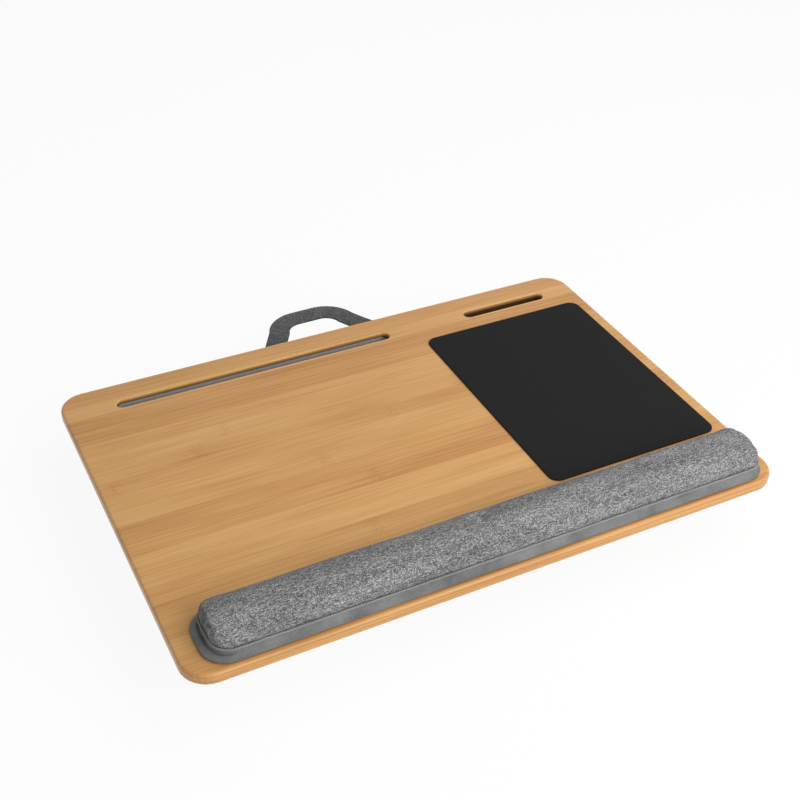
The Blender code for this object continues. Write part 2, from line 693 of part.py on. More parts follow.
def build_pull(parts, metal):
    """Pull tab that hangs on the slider's bridge; its origin lies on the bar that it swings about."""
    bar = PULL_THICKNESS / 2
    window_half = BRIDGE_WIDTH / 2 + PULL_WINDOW_SIDE_CLEARANCE
    outline = rounded_rectangle(
        -PULL_WIDTH / 2, PULL_WIDTH / 2, bar - PULL_LENGTH, bar, PULL_CORNER_RADIUS, SMALL_CORNER_STEPS
    )
    window = rounded_rectangle(
        -window_half, window_half, -bar - PULL_WINDOW_LENGTH, -bar, PULL_EDGE_RADIUS, EDGE_STEPS
    )
    hole_top = -PULL_LENGTH + bar + PULL_CORNER_RADIUS + PULL_HOLE_LENGTH
    hole = rounded_rectangle(
        -PULL_HOLE_WIDTH / 2,
        PULL_HOLE_WIDTH / 2,
        hole_top - PULL_HOLE_LENGTH,
        hole_top,
        PULL_HOLE_WIDTH / 2,
        SMALL_CORNER_STEPS,
    )
    mesh = plate_mesh("zipper_pull", [outline, window, hole], PULL_THICKNESS)
    pull = add_object("zipper_pull", mesh, parts, metal, (0, SLIDER_REST_Y, PULL_AXIS_Z))
    pull.rotation_euler = (math.pi / 2, 0, 0)


def main():
    """Build the whole lap desk."""
    clear_scene()
    parts = new_collection("lap_desk")
    cutters = new_collection("cutters")
    bamboo = new_material("bamboo", (0.60, 0.35, 0.14), 0.45)
    pad = new_material("pad_black", (0.022, 0.022, 0.022), 0.7)
    linen = new_material("linen_grey", (0.22, 0.22, 0.23), 0.95)
    suede = new_material("suede_grey", (0.20, 0.21, 0.21), 0.9)
    webbing = new_material("webbing_grey", (0.10, 0.10, 0.10), 0.9)
    foam = new_material("foam_white", (0.75, 0.74, 0.70), 0.95)
    tape = new_material("tape_white", (0.80, 0.80, 0.78), 0.6)
    strip = new_material("hook_and_loop_black", (0.03, 0.03, 0.03), 0.95)
    zip_tape = new_material("zip_tape_grey", (0.08, 0.08, 0.08), 0.9)
    zip_metal = new_material("zip_metal", (0.35, 0.35, 0.36), 0.35, 1.0)
    build_board(parts, cutters, bamboo)
    build_mouse_pad(parts, pad)
    build_wrist_rest(parts, linen, suede, foam, tape)
    build_panel(parts, suede)
    build_bolster("left", -1, parts, linen, foam)
    build_bolster("right", 1, parts, linen, foam)
    build_strips("hook", HOOK_BOTTOM, parts, strip)
    build_strips("loop", LOOP_BOTTOM, parts, strip)
    build_handle(parts, webbing)
    build_zip(parts, cutters, zip_tape, zip_metal)


main()
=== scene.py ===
"""Looks of the lap desk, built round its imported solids.

Lengths are metres, +X is the user's right, +Y points away from the user and +Z is up.
The board, the wrist rest's tapes and the zip's metal keep their solids. Every other piece is
a new surface that stands for its solid.
"""

import json
import logging
import math
from collections.abc import Callable
from dataclasses import dataclass, field
from enum import Enum
from functools import partial

import bmesh
import bpy
import numpy as np
from mathutils import Matrix, Vector

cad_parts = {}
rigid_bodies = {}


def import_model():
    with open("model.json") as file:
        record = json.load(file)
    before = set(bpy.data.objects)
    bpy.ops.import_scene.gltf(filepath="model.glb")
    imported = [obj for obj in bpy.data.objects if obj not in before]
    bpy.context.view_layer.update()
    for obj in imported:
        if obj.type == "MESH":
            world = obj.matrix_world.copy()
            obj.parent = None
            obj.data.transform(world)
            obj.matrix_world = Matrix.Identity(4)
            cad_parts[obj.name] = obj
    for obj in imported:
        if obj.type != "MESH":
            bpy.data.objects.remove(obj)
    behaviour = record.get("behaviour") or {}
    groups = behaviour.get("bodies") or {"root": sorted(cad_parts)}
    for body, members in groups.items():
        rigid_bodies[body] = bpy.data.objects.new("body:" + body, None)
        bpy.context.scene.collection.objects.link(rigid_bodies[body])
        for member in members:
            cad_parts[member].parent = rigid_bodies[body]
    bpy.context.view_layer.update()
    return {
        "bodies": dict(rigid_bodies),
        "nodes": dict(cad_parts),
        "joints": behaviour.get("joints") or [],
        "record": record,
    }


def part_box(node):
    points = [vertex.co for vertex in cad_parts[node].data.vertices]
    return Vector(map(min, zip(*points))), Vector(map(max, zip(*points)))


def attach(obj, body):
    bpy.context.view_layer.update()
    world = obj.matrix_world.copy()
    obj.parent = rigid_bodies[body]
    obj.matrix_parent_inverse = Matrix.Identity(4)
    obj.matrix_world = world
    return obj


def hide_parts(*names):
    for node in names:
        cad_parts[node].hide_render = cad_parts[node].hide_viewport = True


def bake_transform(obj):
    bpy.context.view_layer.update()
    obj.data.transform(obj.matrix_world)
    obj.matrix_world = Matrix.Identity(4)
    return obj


MM = 0.001
CLOTH_MAP = "cloth"
QUARTER_TURN = np.pi / 2
FULL_TURN = 2 * np.pi
WELD = 0.01 * MM
SIDE_STEP = 5 * MM

# Points of shape (rows, columns, 3), and their places on the cloth of shape (rows, columns, 2).
Grid = tuple[np.ndarray, np.ndarray]

log = logging.getLogger("lap_desk")


class Body(Enum):
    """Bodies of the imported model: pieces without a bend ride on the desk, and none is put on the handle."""

    DESK = "desk"
    HANDLE = "handle"


class Slot(Enum):
    """Material slots of the record."""

    PAD = "pad_black"
    LINEN = "linen_grey"
    SUEDE = "suede_grey"
    WEBBING = "webbing_grey"
    FOAM = "foam_white"
    HOOK_AND_LOOP = "hook_and_loop_black"
    ZIP_TAPE = "zip_tape_grey"


class Side(Enum):
    """Left and right, as the sign of X."""

    LEFT = -1
    RIGHT = 1

    @property
    def word(self) -> str:
        """The side's name as node names spell it."""
        return self.name.lower()


def linear(code: str) -> tuple[float, ...]:
    """Turn an sRGB hex code into a linear colour.

    Each channel follows the sRGB curve: divided by 12.92 near black, and a power of 2.4 above it.

    Args:
        code: six hex digits, such as "C89B63".

    Returns:
        Red, green, blue and an alpha of 1.
    """
    channels = np.array([int(code[i : i + 2], 16) for i in (0, 2, 4)]) / 255
    curved = np.where(channels <= 0.04045, channels / 12.92, ((channels + 0.055) / 1.055) ** 2.4)
    return (*curved.tolist(), 1.0)


def feed(node: bpy.types.Node, inputs: dict | list | tuple) -> None:
    """Fill a node's inputs: an output socket is linked, and anything else is the input's value.

    Args:
        node: the node.
        inputs: what goes in, by the inputs' names or numbers, or in their order.
    """
    for socket, value in inputs.items() if isinstance(inputs, dict) else enumerate(inputs):
        if isinstance(value, bpy.types.NodeSocket):
            node.id_data.links.new(value, node.inputs[socket])
        else:
            node.inputs[socket].default_value = value


def add_node(
    tree: bpy.types.NodeTree,
    kind: str,
    inputs: dict | list | tuple = (),
    output: int | str = 0,
    stops: tuple[tuple[float, str], ...] = (),
    **settings: object,
) -> bpy.types.NodeSocket:
    """Add a shader node with its settings, values and links.

    Args:
        tree: the node tree to add to.
        kind: the node's type without "ShaderNode", and after a dot its operation, if it has one.
        inputs: what goes into the node, as in feed.
        output: name or number of the output wanted.
        stops: place and hex code of each colour of a ramp.
        **settings: other properties of the node.

    Returns:
        The output's socket.
    """
    kind, _, operation = kind.partition(".")
    node = tree.nodes.new("ShaderNode" + kind)
    if operation:
        node.operation = operation
    for name, value in settings.items():
        setattr(node, name, value)
    if stops:
        colours = node.color_ramp.elements
        while len(colours) < len(stops):
            colours.new(0.5)
        for colour, (place, code) in zip(colours, stops):
            colour.position, colour.color = place, linear(code)
    feed(node, inputs)
    return node.outputs[output]


def new_material(name: str) -> tuple[bpy.types.Material, bpy.types.Node, Callable]:
    """Make a material with one Principled shader.

    Args:
        name: the finish's name.

    Returns:
        The material, its Principled node, and add_node for its tree.
    """
    material = bpy.data.materials.new(name)
    material.use_nodes = True
    tree = material.node_tree
    return material, tree.nodes["Principled BSDF"], partial(add_node, tree)


@dataclass(frozen=True)
class MilledSlot:
    """A slot of the board: its ends, its middle line and whether the cloth below shows in it."""

    left: float
    right: float
    middle: float
    cloth_shows: bool


@dataclass(frozen=True)
class LaminatedBamboo:
    """Carbonised bamboo strips, pressed flat, glued edge to edge, sanded and lacquered.

    The eye sees honey-coloured strips along X, fine dark fibres and a knuckle every hand or two. Painted
    shade darkens the slots' walls towards a deep brown, more with depth. The cloth under the board lends
    the lower part of the long slot's walls its grey.
    """

    name: str = "laminated_bamboo_lacquered"
    pale: str = "DAAB6C"
    mid: str = "CC985A"
    deep: str = "B67D42"
    knuckle: str = "9C6430"
    # Deep brown of the painted shade on the slots' walls.
    slot_shade: str = "2E1B0F"
    lint: str = "AEAFAE"
    strip_width: float = 19 * MM
    ply: float = 3.7 * MM
    knuckle_pitch: float = 262 * MM
    top: float = 61.9 * MM
    slots: tuple[MilledSlot, ...] = (
        MilledSlot(-226 * MM, 55.5 * MM, 123 * MM, True),
        MilledSlot(143 * MM, 238 * MM, 123 * MM, False),
    )
    slot_radius: float = 5.75 * MM
    slot_margin: float = 0.9 * MM

    def make(self) -> bpy.types.Material:
        """Build the material.

        Returns:
            The material.
        """
        material, shader, add = new_material(self.name)
        place = add("TexCoord", output="Object")
        x, y, z = add("SeparateXYZ", [place]).node.outputs
        strips = add("Math.DIVIDE", [y, self.strip_width])
        plies = add("Math.DIVIDE", [z, self.ply])
        number = add("CombineXYZ", [add("Math.FLOOR", [strips]), add("Math.FLOOR", [plies]), 3.0])
        chance = add("TexWhiteNoise", {"Vector": number})

        # Each noise is drawn out along the strips: waves in a metre along X, Y and Z, and its detail.
        drift = add("Math.MULTIPLY", [chance, 7.0])
        moved = add("VectorMath.ADD", [place, add("CombineXYZ", [drift, drift, 0.0])])
        kinds = ((9, 420, 420), 2), ((22, 1500, 1500), 2), ((7, 34, 34), 1), ((330, 1300, 1300), 1)
        noises = []
        for waves, detail in kinds:
            drawn = add("VectorMath.MULTIPLY", [moved, waves])
            noises.append(add("TexNoise", {"Vector": drawn, "Scale": 1, "Detail": detail}))
        coarse, fine, cloud, dash = noises
        spread = add("Math.SUBTRACT", [chance, 0.5])
        tone = -0.4
        for part, weight in ((coarse, 0.72), (fine, 0.48), (cloud, 0.6), (spread, 0.34)):
            tone = add("Math.MULTIPLY_ADD", [part, weight, tone])
        colour = add("ValToRGB", [tone], stops=((0.12, self.deep), (0.5, self.mid), (0.88, self.pale)))

        # Knuckles: a faint line across the strip, and dark dashes beside it on some strips.
        turns = add("Math.DIVIDE", [x, self.knuckle_pitch])
        turns = add("Math.ADD", [turns, add("Math.MULTIPLY_ADD", [chance, 5.3, 10.0])])
        offset = add("Math.SUBTRACT", [add("Math.FRACT", [turns]), 0.5])
        wobble = add("TexNoise", {"Vector": place, "Scale": 260.0, "Detail": 1})
        offset = add("Math.ABSOLUTE", [add("Math.MULTIPLY_ADD", [wobble, 0.012, offset])])
        far = add("Math.MULTIPLY", [offset, self.knuckle_pitch])
        line = add("MapRange", [far, 0.0, 1.3 * MM, 1.0, 0.0], interpolation_type="SMOOTHSTEP")
        zone = add("MapRange", [far, 2 * MM, 9 * MM, 1.0, 0.0], interpolation_type="SMOOTHSTEP")
        marks = add("Math.MULTIPLY", [add("MapRange", [dash, 0.5, 0.68, 0.0, 0.75]), zone])
        marks = add("Math.MAXIMUM", [marks, add("Math.MULTIPLY", [line, 0.22])])
        rare = add("SeparateColor", [chance.node.outputs["Color"]], output=1)
        marks = add("Math.MULTIPLY", [marks, add("MapRange", [rare, 0.55, 0.75, 0.0, 0.6])])
        layers = [(marks, self.knuckle)]

        # Glue lines between strips and between plies.
        for turns, start, weight in ((strips, 0.485, 0.25), (plies, 0.4, 0.55)):
            edge = add("Math.ABSOLUTE", [add("Math.SUBTRACT", [add("Math.FRACT", [turns]), 0.5])])
            layers.append((add("MapRange", [edge, start, 0.5, 0.0, weight]), self.knuckle))

        # Slot walls: painted shade from 1 to 5 mm down, and grey from 4.4 to 5.4 mm, deeper round the ends.
        depth = add("MapRange", [z, self.top - 1 * MM, self.top - 5 * MM, 0.0, 0.9])
        for slot in self.slots:
            end = add("Math.ABSOLUTE", [add("Math.SUBTRACT", [x, (slot.left + slot.right) / 2])])
            end = add("Math.SUBTRACT", [end, (slot.right - slot.left) / 2 - self.slot_radius])
            end = add("Math.MAXIMUM", [end, 0.0])
            away = add("CombineXYZ", [end, add("Math.SUBTRACT", [y, slot.middle])])
            away = add("VectorMath.LENGTH", [away], output="Value")
            inside = add("Math.LESS_THAN", [away, self.slot_radius + self.slot_margin])
            # Painted shade on the slot's walls, stronger further down.
            layers.append((add("Math.MULTIPLY", [inside, depth]), self.slot_shade))
            if slot.cloth_shows:
                below = add("Math.MULTIPLY_ADD", [end, 0.35, z])
                grey = add("MapRange", [below, self.top - 4.4 * MM, self.top - 5.4 * MM, 0.0, 1.0])
                layers.append((add("Math.MULTIPLY", [inside, grey]), self.lint))
        for mask, code in layers:
            colour = add("Mix", {0: mask, 6: colour, 7: linear(code)}, output=2, data_type="RGBA")

        height = add("Math.MULTIPLY_ADD", [line, -0.6, fine])
        look = {
            "Base Color": colour,
            "Roughness": add("MapRange", [coarse, 0.3, 0.7, 0.36, 0.47]),
            "Specular IOR Level": 0.2,
            "Coat Weight": 0.35,
            "Coat Roughness": 0.24,
            "Normal": add("Bump", {"Strength": 0.16, "Distance": 0.15 * MM, "Height": height}),
        }
        feed(shader, look)
        return material


@dataclass(frozen=True)
class WovenCloth:
    """Plain weave of spun threads, drawn on a piece's own cloth map, whose unit is a metre.

    Where warp and weft cross, the upper thread bulges, with painted shade in the gaps beside it and
    painted light on its crown. Each thread is blended from light and dark fibres, so its tone changes
    along it, more slowly in the weft.
    Threads finer than about 1 mm are drawn a little coarser than the real ones, so that they show.
    """

    name: str
    dark: str
    mid: str
    light: str
    pitch: float
    blend: float
    rib: float = 1.0
    roughness: float = 0.92
    sheen: float = 0.25

    def make(self) -> bpy.types.Material:
        """Build the material.

        Returns:
            The material.
        """
        material, shader, add = new_material(self.name)
        cloth = add("UVMap", uv_map=CLOTH_MAP)
        place = add("VectorMath.MULTIPLY", [cloth, (1 / self.pitch, 1 / (self.pitch * self.rib), 1)])
        u, v, _ = add("SeparateXYZ", [place]).node.outputs
        u_number, v_number = (add("Math.FLOOR", [axis]) for axis in (u, v))
        u_part, v_part = (add("Math.FRACT", [axis]) for axis in (u, v))
        over = add("Math.PINGPONG", [add("Math.ADD", [u_number, v_number]), 1.0])

        threads = []
        for number, along, run, seed in ((u_number, v, 0.3, 0.0), (v_number, u, 0.15, 5.0)):
            spot = [add("Math.MULTIPLY", [number, 3.7]), add("Math.MULTIPLY", [along, run]), seed]
            threads.append(add("TexNoise", {"Vector": add("CombineXYZ", spot), "Scale": 1.0, "Detail": 1}))
        warp, weft = threads
        under = add("Mix", {0: 0.35, 2: weft, 3: warp})
        crossing = add("CombineXYZ", [u_number, v_number, 1.0])
        parts = [(add("Mix", {0: over, 2: under, 3: weft}), 1.45)]
        parts.append((add("TexWhiteNoise", {"Vector": crossing}), 0.7))
        for waves, weight in (((9, 70, 1), 0.45), ((60, 700, 1), 0.2)):
            streak = add("VectorMath.MULTIPLY", [cloth, waves])
            parts.append((add("TexNoise", {"Vector": streak, "Scale": 1.0, "Detail": 1}), weight))
        tone = 0.5
        for part, weight in parts:
            part = add("Math.SUBTRACT", [part, 0.5])
            tone = add("Math.MULTIPLY_ADD", [part, weight * self.blend, tone])

        across = add("Mix", {0: over, 2: u_part, 3: v_part})
        along = add("Mix", {0: over, 2: v_part, 3: u_part})
        across, along = (
            add("Math.SINE", [add("Math.MULTIPLY", [part, math.pi])]) for part in (across, along)
        )
        height = add("Math.MULTIPLY", [across, add("Math.MULTIPLY_ADD", [along, 0.5, 0.5])])
        # Painted shade darkens the gaps between threads and painted light brightens their crowns, multiplied
        # into the colour.
        shade = add("Math.MULTIPLY_ADD", [height, 0.5, 0.62])
        colour = add("ValToRGB", [tone], stops=((0.08, self.dark), (0.5, self.mid), (0.92, self.light)))
        look = {
            "Base Color": add("VectorMath.MULTIPLY", [colour, add("CombineXYZ", [shade, shade, shade])]),
            "Roughness": self.roughness,
            "Sheen Weight": self.sheen,
            "Sheen Roughness": 0.5,
            "Specular IOR Level": 0.2,
            "Normal": add("Bump", {"Strength": 0.75, "Distance": 0.3 * MM, "Height": height}),
        }
        feed(shader, look)
        return material


@dataclass(frozen=True)
class BrushedCloth:
    """Knitted polyester with a brushed face: a short nap, cloudy tone and a soft edge of light."""

    name: str
    dark: str
    light: str
    nap: float = 0.9 * MM
    contrast: float = 0.5
    sheen: float = 0.35
    relief: float = 0.25 * MM

    def make(self) -> bpy.types.Material:
        """Build the material.

        Returns:
            The material.
        """
        material, shader, add = new_material(self.name)
        place = add("TexCoord", output="Object")
        nap = add("TexNoise", {"Vector": place, "Scale": 1 / self.nap, "Detail": 3, "Roughness": 0.65})
        cloud = add("TexNoise", {"Vector": place, "Scale": 45.0, "Detail": 3})
        tone = add("Math.MULTIPLY", [nap, self.contrast])
        tone = add("Math.MULTIPLY_ADD", [cloud, 1 - self.contrast, tone])
        look = {
            "Base Color": add("ValToRGB", [tone], stops=((0.3, self.dark), (0.7, self.light))),
            "Roughness": 0.88,
            "Sheen Weight": self.sheen,
            "Specular IOR Level": 0.2,
            "Normal": add("Bump", {"Strength": 0.5, "Distance": self.relief, "Height": nap}),
        }
        feed(shader, look)
        return material


@dataclass(frozen=True)
class GrainedPolyurethane:
    """Black polyurethane-coated sheet with a fine pressed leather grain, nearly without gloss."""

    name: str = "polyurethane_sheet_grained"
    dark: str = "1C1C1C"
    light: str = "242424"
    grain: float = 1.1 * MM

    def make(self) -> bpy.types.Material:
        """Build the material.

        Returns:
            The material.
        """
        material, shader, add = new_material(self.name)
        place = add("TexCoord", output="Object")
        cells = add("TexVoronoi", {"Vector": place, "Scale": 1 / self.grain}, feature="DISTANCE_TO_EDGE")
        valley = add("MapRange", [cells, 0.0, 0.25, 0.0, 1.0])
        cloud = add("TexNoise", {"Vector": place, "Scale": 30.0, "Detail": 3})
        # Painted shade: the tone is darker in the grain's valleys along the cells' edges.
        tone = add("Math.MULTIPLY_ADD", [cloud, 0.6, add("Math.MULTIPLY", [valley, 0.4])])
        look = {
            "Base Color": add("ValToRGB", [tone], stops=((0.2, self.dark), (0.8, self.light))),
            "Roughness": add("MapRange", [cloud, 0.3, 0.7, 0.62, 0.72]),
            "Specular IOR Level": 0.06,
            "Normal": add("Bump", {"Strength": 0.3, "Distance": 0.1 * MM, "Height": valley}),
        }
        feed(shader, look)
        return material


@dataclass(frozen=True)
class TumbledZinc:
    """Die-cast zinc, tumbled and nickel-plated: a soft metal gleam with fine scratches."""

    name: str = "zinc_alloy_nickel_plated"
    colour: str = "B4B4B6"
    smooth: float = 0.24
    rough: float = 0.42

    def make(self) -> bpy.types.Material:
        """Build the material.

        Returns:
            The material.
        """
        material, shader, add = new_material(self.name)
        place = add("VectorMath.MULTIPLY", [add("TexCoord", output="Object"), (3200, 260, 3200)])
        scratch = add("TexNoise", {"Vector": place, "Scale": 1, "Detail": 3})
        look = {
            "Base Color": linear(self.colour),
            "Metallic": 1.0,
            "Roughness": add("MapRange", [scratch, 0.3, 0.7, self.smooth, self.rough]),
            "Normal": add("Bump", {"Strength": 0.2, "Distance": 0.05 * MM, "Height": scratch}),
        }
        feed(shader, look)
        return material


@dataclass(frozen=True)
class OpenCellFoam:
    """Polyurethane foam or fluffed fibre: pale, matt and full of small round pores, with painted shade in
    them.
    """

    name: str
    pore: float
    wall: str = "EAE6DC"
    # Colour of the painted shade in the pores.
    pore_shade: str = "BDB7A8"

    def make(self) -> bpy.types.Material:
        """Build the material.

        Returns:
            The material.
        """
        material, shader, add = new_material(self.name)
        place = add("TexCoord", output="Object")
        cells = add("TexVoronoi", {"Vector": place, "Scale": 1 / self.pore})
        # Painted shade: darker towards each pore's middle, paler on the walls between.
        tone = add("MapRange", [cells, 0.1, 0.6, 0.0, 1.0])
        look = {
            "Base Color": add("ValToRGB", [tone], stops=((0.0, self.pore_shade), (0.7, self.wall))),
            "Roughness": 0.95,
            "Normal": add("Bump", {"Strength": 0.6, "Distance": self.pore / 3, "Height": tone}),
        }
        feed(shader, look)
        return material


@dataclass(frozen=True)
class AdhesiveFilm:
    """Double-sided acrylic foam tape: an even off-white film with a faint grain."""

    name: str = "acrylic_tape_calendered"
    dark: str = "D6D5D0"
    light: str = "E8E7E3"

    def make(self) -> bpy.types.Material:
        """Build the material.

        Returns:
            The material.
        """
        material, shader, add = new_material(self.name)
        grain = add("TexNoise", {"Vector": add("TexCoord", output="Object"), "Scale": 900.0, "Detail": 2})
        look = {
            "Base Color": add("ValToRGB", [grain], stops=((0.3, self.dark), (0.7, self.light))),
            "Roughness": 0.5,
            "Normal": add("Bump", {"Strength": 0.2, "Distance": 0.05 * MM, "Height": grain}),
        }
        feed(shader, look)
        return material


# Yarns spun from black and white fibres: a grey full of light and dark flecks.
LINEN = WovenCloth(
    "polyester_linen_heathered_weave", "444545", "818281", "C9CAC9", 0.8 * MM, blend=0.8, rib=0.75, sheen=0.04
)
# The same cloth wrapped round a thin cord, too narrow to show more than its mottle.
CORD = BrushedCloth("polyester_linen_seam_cord", "5A5B5B", "9A9B9B", contrast=0.8)
# Thick yarns beaten close on a narrow loom: dark, even ribs across the strap.
WEBBING = WovenCloth(
    "polyester_webbing_ribbed_weave", "2C2D2E", "4C4D4E", "7B7C7D", pitch=1.5 * MM, blend=0.55, rib=0.7
)
# Fine yarns of one dye: nearly one dark grey.
ZIP_TAPE = WovenCloth("polyester_zip_tape_weave", "343536", "4A4B4C", "626364", pitch=0.8 * MM, blend=0.3)
# Brushed after knitting: an even grey with soft clouds.
SUEDE = BrushedCloth("polyester_knit_brushed", "545655", "888A89", sheen=0.25)
# Loops and cut hooks that stand up: black and rough, with small lights.
PILE = BrushedCloth(
    "nylon_hook_and_loop_pile", "121212", "343434", nap=0.7 * MM, contrast=0.85, relief=0.6 * MM
)
# Hard-twisted sewing thread: smoother and darker than the cloth.
THREAD = BrushedCloth(
    "polyester_thread_twisted", "4A4B4B", "6E6F6F", nap=0.5 * MM, sheen=0.2, relief=0.1 * MM
)
FOAM = OpenCellFoam("polyurethane_foam_cut", pore=1.2 * MM)
FILLING = OpenCellFoam("polyester_fibre_filling", pore=3.0 * MM, wall="EEEEEC", pore_shade="C9C9C6")


@dataclass(frozen=True)
class Finishes:
    """Every material of the desk, made once and shared by the pieces."""

    linen: bpy.types.Material = field(default_factory=LINEN.make)
    cord: bpy.types.Material = field(default_factory=CORD.make)
    webbing: bpy.types.Material = field(default_factory=WEBBING.make)
    zip_tape: bpy.types.Material = field(default_factory=ZIP_TAPE.make)
    suede: bpy.types.Material = field(default_factory=SUEDE.make)
    pile: bpy.types.Material = field(default_factory=PILE.make)
    thread: bpy.types.Material = field(default_factory=THREAD.make)
    pad: bpy.types.Material = field(default_factory=GrainedPolyurethane().make)
    zinc: bpy.types.Material = field(default_factory=TumbledZinc().make)
    foam: bpy.types.Material = field(default_factory=FOAM.make)
    filling: bpy.types.Material = field(default_factory=FILLING.make)
    tape: bpy.types.Material = field(default_factory=AdhesiveFilm().make)
    bamboo: bpy.types.Material = field(default_factory=LaminatedBamboo().make)


def unit(vectors: np.ndarray) -> np.ndarray:
    """Scale vectors on the last axis to a length of 1."""
    return vectors / np.linalg.norm(vectors, axis=-1, keepdims=True)


def walk(path: np.ndarray) -> np.ndarray:
    """Length walked along a path up to each of its points: the running sum of its steps."""
    return np.insert(np.cumsum(np.linalg.norm(np.diff(path, axis=0), axis=1)), 0, 0.0)


def points_at(places: np.ndarray, walked: np.ndarray, path: np.ndarray) -> np.ndarray:
    """Points of a path at some lengths along it, read off straight between its own points."""
    return np.stack([np.interp(places, walked, axis) for axis in path.T], -1)


def cloth_lengths(points: np.ndarray) -> np.ndarray:
    """Cloth coordinates of a grid: the mean length walked across and down it.

    Args:
        points: shape (rows, columns, 3).

    Returns:
        Lengths of shape (rows, columns, 2), in metres.
    """
    lengths = []
    for axis in (1, 0):
        steps = np.linalg.norm(np.diff(points, axis=axis), axis=-1)
        walked = np.insert(np.cumsum(steps, axis=axis), 0, 0.0, axis=axis)
        lengths.append(np.broadcast_to(walked.mean(1 - axis, keepdims=True), points.shape[:2]))
    return np.stack(lengths, -1)


def mesh_from_grids(name: str, grids: list[Grid], closed: bool = True) -> bpy.types.Object:
    """Put surfaces on grids into one mesh object, with their cloth map, and weld where they meet.

    Each quad joins a grid's point to its right, diagonal and lower neighbours.

    Args:
        name: the piece's name.
        grids: points of shape (rows, columns, 3) and cloth coordinates of shape (rows, columns, 2).
        closed: whether the surfaces close to a body, whose faces are then turned outwards.

    Returns:
        The object, linked into the scene at the origin.
    """
    faces, start = [], 0
    for place, _ in grids:
        rows, columns = place.shape[:2]
        at = start + np.arange(rows * columns).reshape(rows, columns)
        faces.append(np.stack([at[:-1, :-1], at[:-1, 1:], at[1:, 1:], at[1:, :-1]], -1).reshape(-1, 4))
        start += rows * columns
    faces = np.vstack(faces)
    points = np.vstack([place.reshape(-1, 3) for place, _ in grids])
    cloth = np.vstack([lengths.reshape(-1, 2) for _, lengths in grids])
    mesh = bpy.data.meshes.new(name)
    mesh.vertices.add(len(points))
    mesh.vertices.foreach_set("co", points.astype(np.float32).ravel())
    mesh.loops.add(faces.size)
    mesh.loops.foreach_set("vertex_index", faces.ravel().astype(np.int32))
    mesh.polygons.add(len(faces))
    mesh.polygons.foreach_set("loop_start", np.arange(0, faces.size, 4, dtype=np.int32))
    mesh.update(calc_edges=True)
    layer = mesh.uv_layers.new(name=CLOTH_MAP)
    layer.data.foreach_set("uv", cloth[faces.ravel()].astype(np.float32).ravel())
    shape = bmesh.new()
    shape.from_mesh(mesh)
    bmesh.ops.remove_doubles(shape, verts=shape.verts, dist=WELD)
    if closed:
        bmesh.ops.recalc_face_normals(shape, faces=shape.faces)
    shape.to_mesh(mesh)
    shape.free()
    mesh.shade_smooth()
    piece = bpy.data.objects.new(name, mesh)
    bpy.context.scene.collection.objects.link(piece)
    return piece


def read_array(items: bpy.types.bpy_prop_collection, name: str, width: int, kind: type) -> np.ndarray:
    """Read one property of every element of a mesh.

    Args:
        items: the vertices, loops or polygons.
        name: the property.
        width: how many numbers each element has.
        kind: the numbers' type.

    Returns:
        Shape (elements, width).
    """
    flat = np.zeros(len(items) * width, kind)
    items.foreach_get(name, flat)
    return flat.reshape(-1, width)


def mesh_points(mesh: bpy.types.Mesh) -> np.ndarray:
    """Read a mesh's points as an array of shape (points, 3)."""
    return read_array(mesh.vertices, "co", 3, np.float32).astype(float)


def set_points(mesh: bpy.types.Mesh, points: np.ndarray) -> None:
    """Write a mesh's points from an array of shape (points, 3)."""
    mesh.vertices.foreach_set("co", points.astype(np.float32).ravel())
    mesh.update()


def box_map(piece: bpy.types.Object) -> None:
    """Lay the cloth map flat on each face from the side that it looks to most.

    A face that looks up reads X and Y, one that looks forwards X and Z, one that looks sideways
    Y and Z, so threads run on over a rounded edge.

    Args:
        piece: a mesh object whose cloth map is rewritten.
    """
    mesh = piece.data
    points = mesh_points(mesh)[read_array(mesh.loops, "vertex_index", 1, np.int32)[:, 0]]
    totals = read_array(mesh.polygons, "loop_total", 1, np.int32)[:, 0]
    normals = read_array(mesh.polygons, "normal", 3, np.float32)
    side = np.repeat(np.abs(normals).argmax(1), totals)
    u = np.where(side == 0, points[:, 1], points[:, 0])
    v = np.where(side == 2, points[:, 1], points[:, 2])
    mesh.uv_layers[CLOTH_MAP].data.foreach_set("uv", np.stack([u, v], 1).astype(np.float32).ravel())


def soft_noise(points: np.ndarray, wavelength: float, seed: int, waves: int = 14) -> np.ndarray:
    """Smooth noise from -1 to 1: the sum of sine waves in random directions, near one wavelength.

    Args:
        points: shape (..., 3), in metres.
        wavelength: the typical length of a wave.
        seed: fixes the waves.
        waves: how many are added.

    Returns:
        Values of the points' shape without the last axis.
    """
    dice = np.random.default_rng(seed)
    direction = unit(dice.normal(size=(waves, 3)))
    length = wavelength * dice.uniform(0.7, 1.5, waves)
    phase = dice.uniform(0, FULL_TURN, waves)
    turns = points @ (direction / length[:, None]).T * FULL_TURN + phase
    return np.sin(turns).sum(-1) / np.sqrt(waves) / 1.6


def squared_circle(angle: np.ndarray, power: float) -> np.ndarray:
    """Circle pulled towards a square: the cosine and sine, each to a power that keeps its sign."""
    waves = np.stack([np.cos(angle), np.sin(angle)])
    return np.sign(waves) * np.abs(waves) ** power


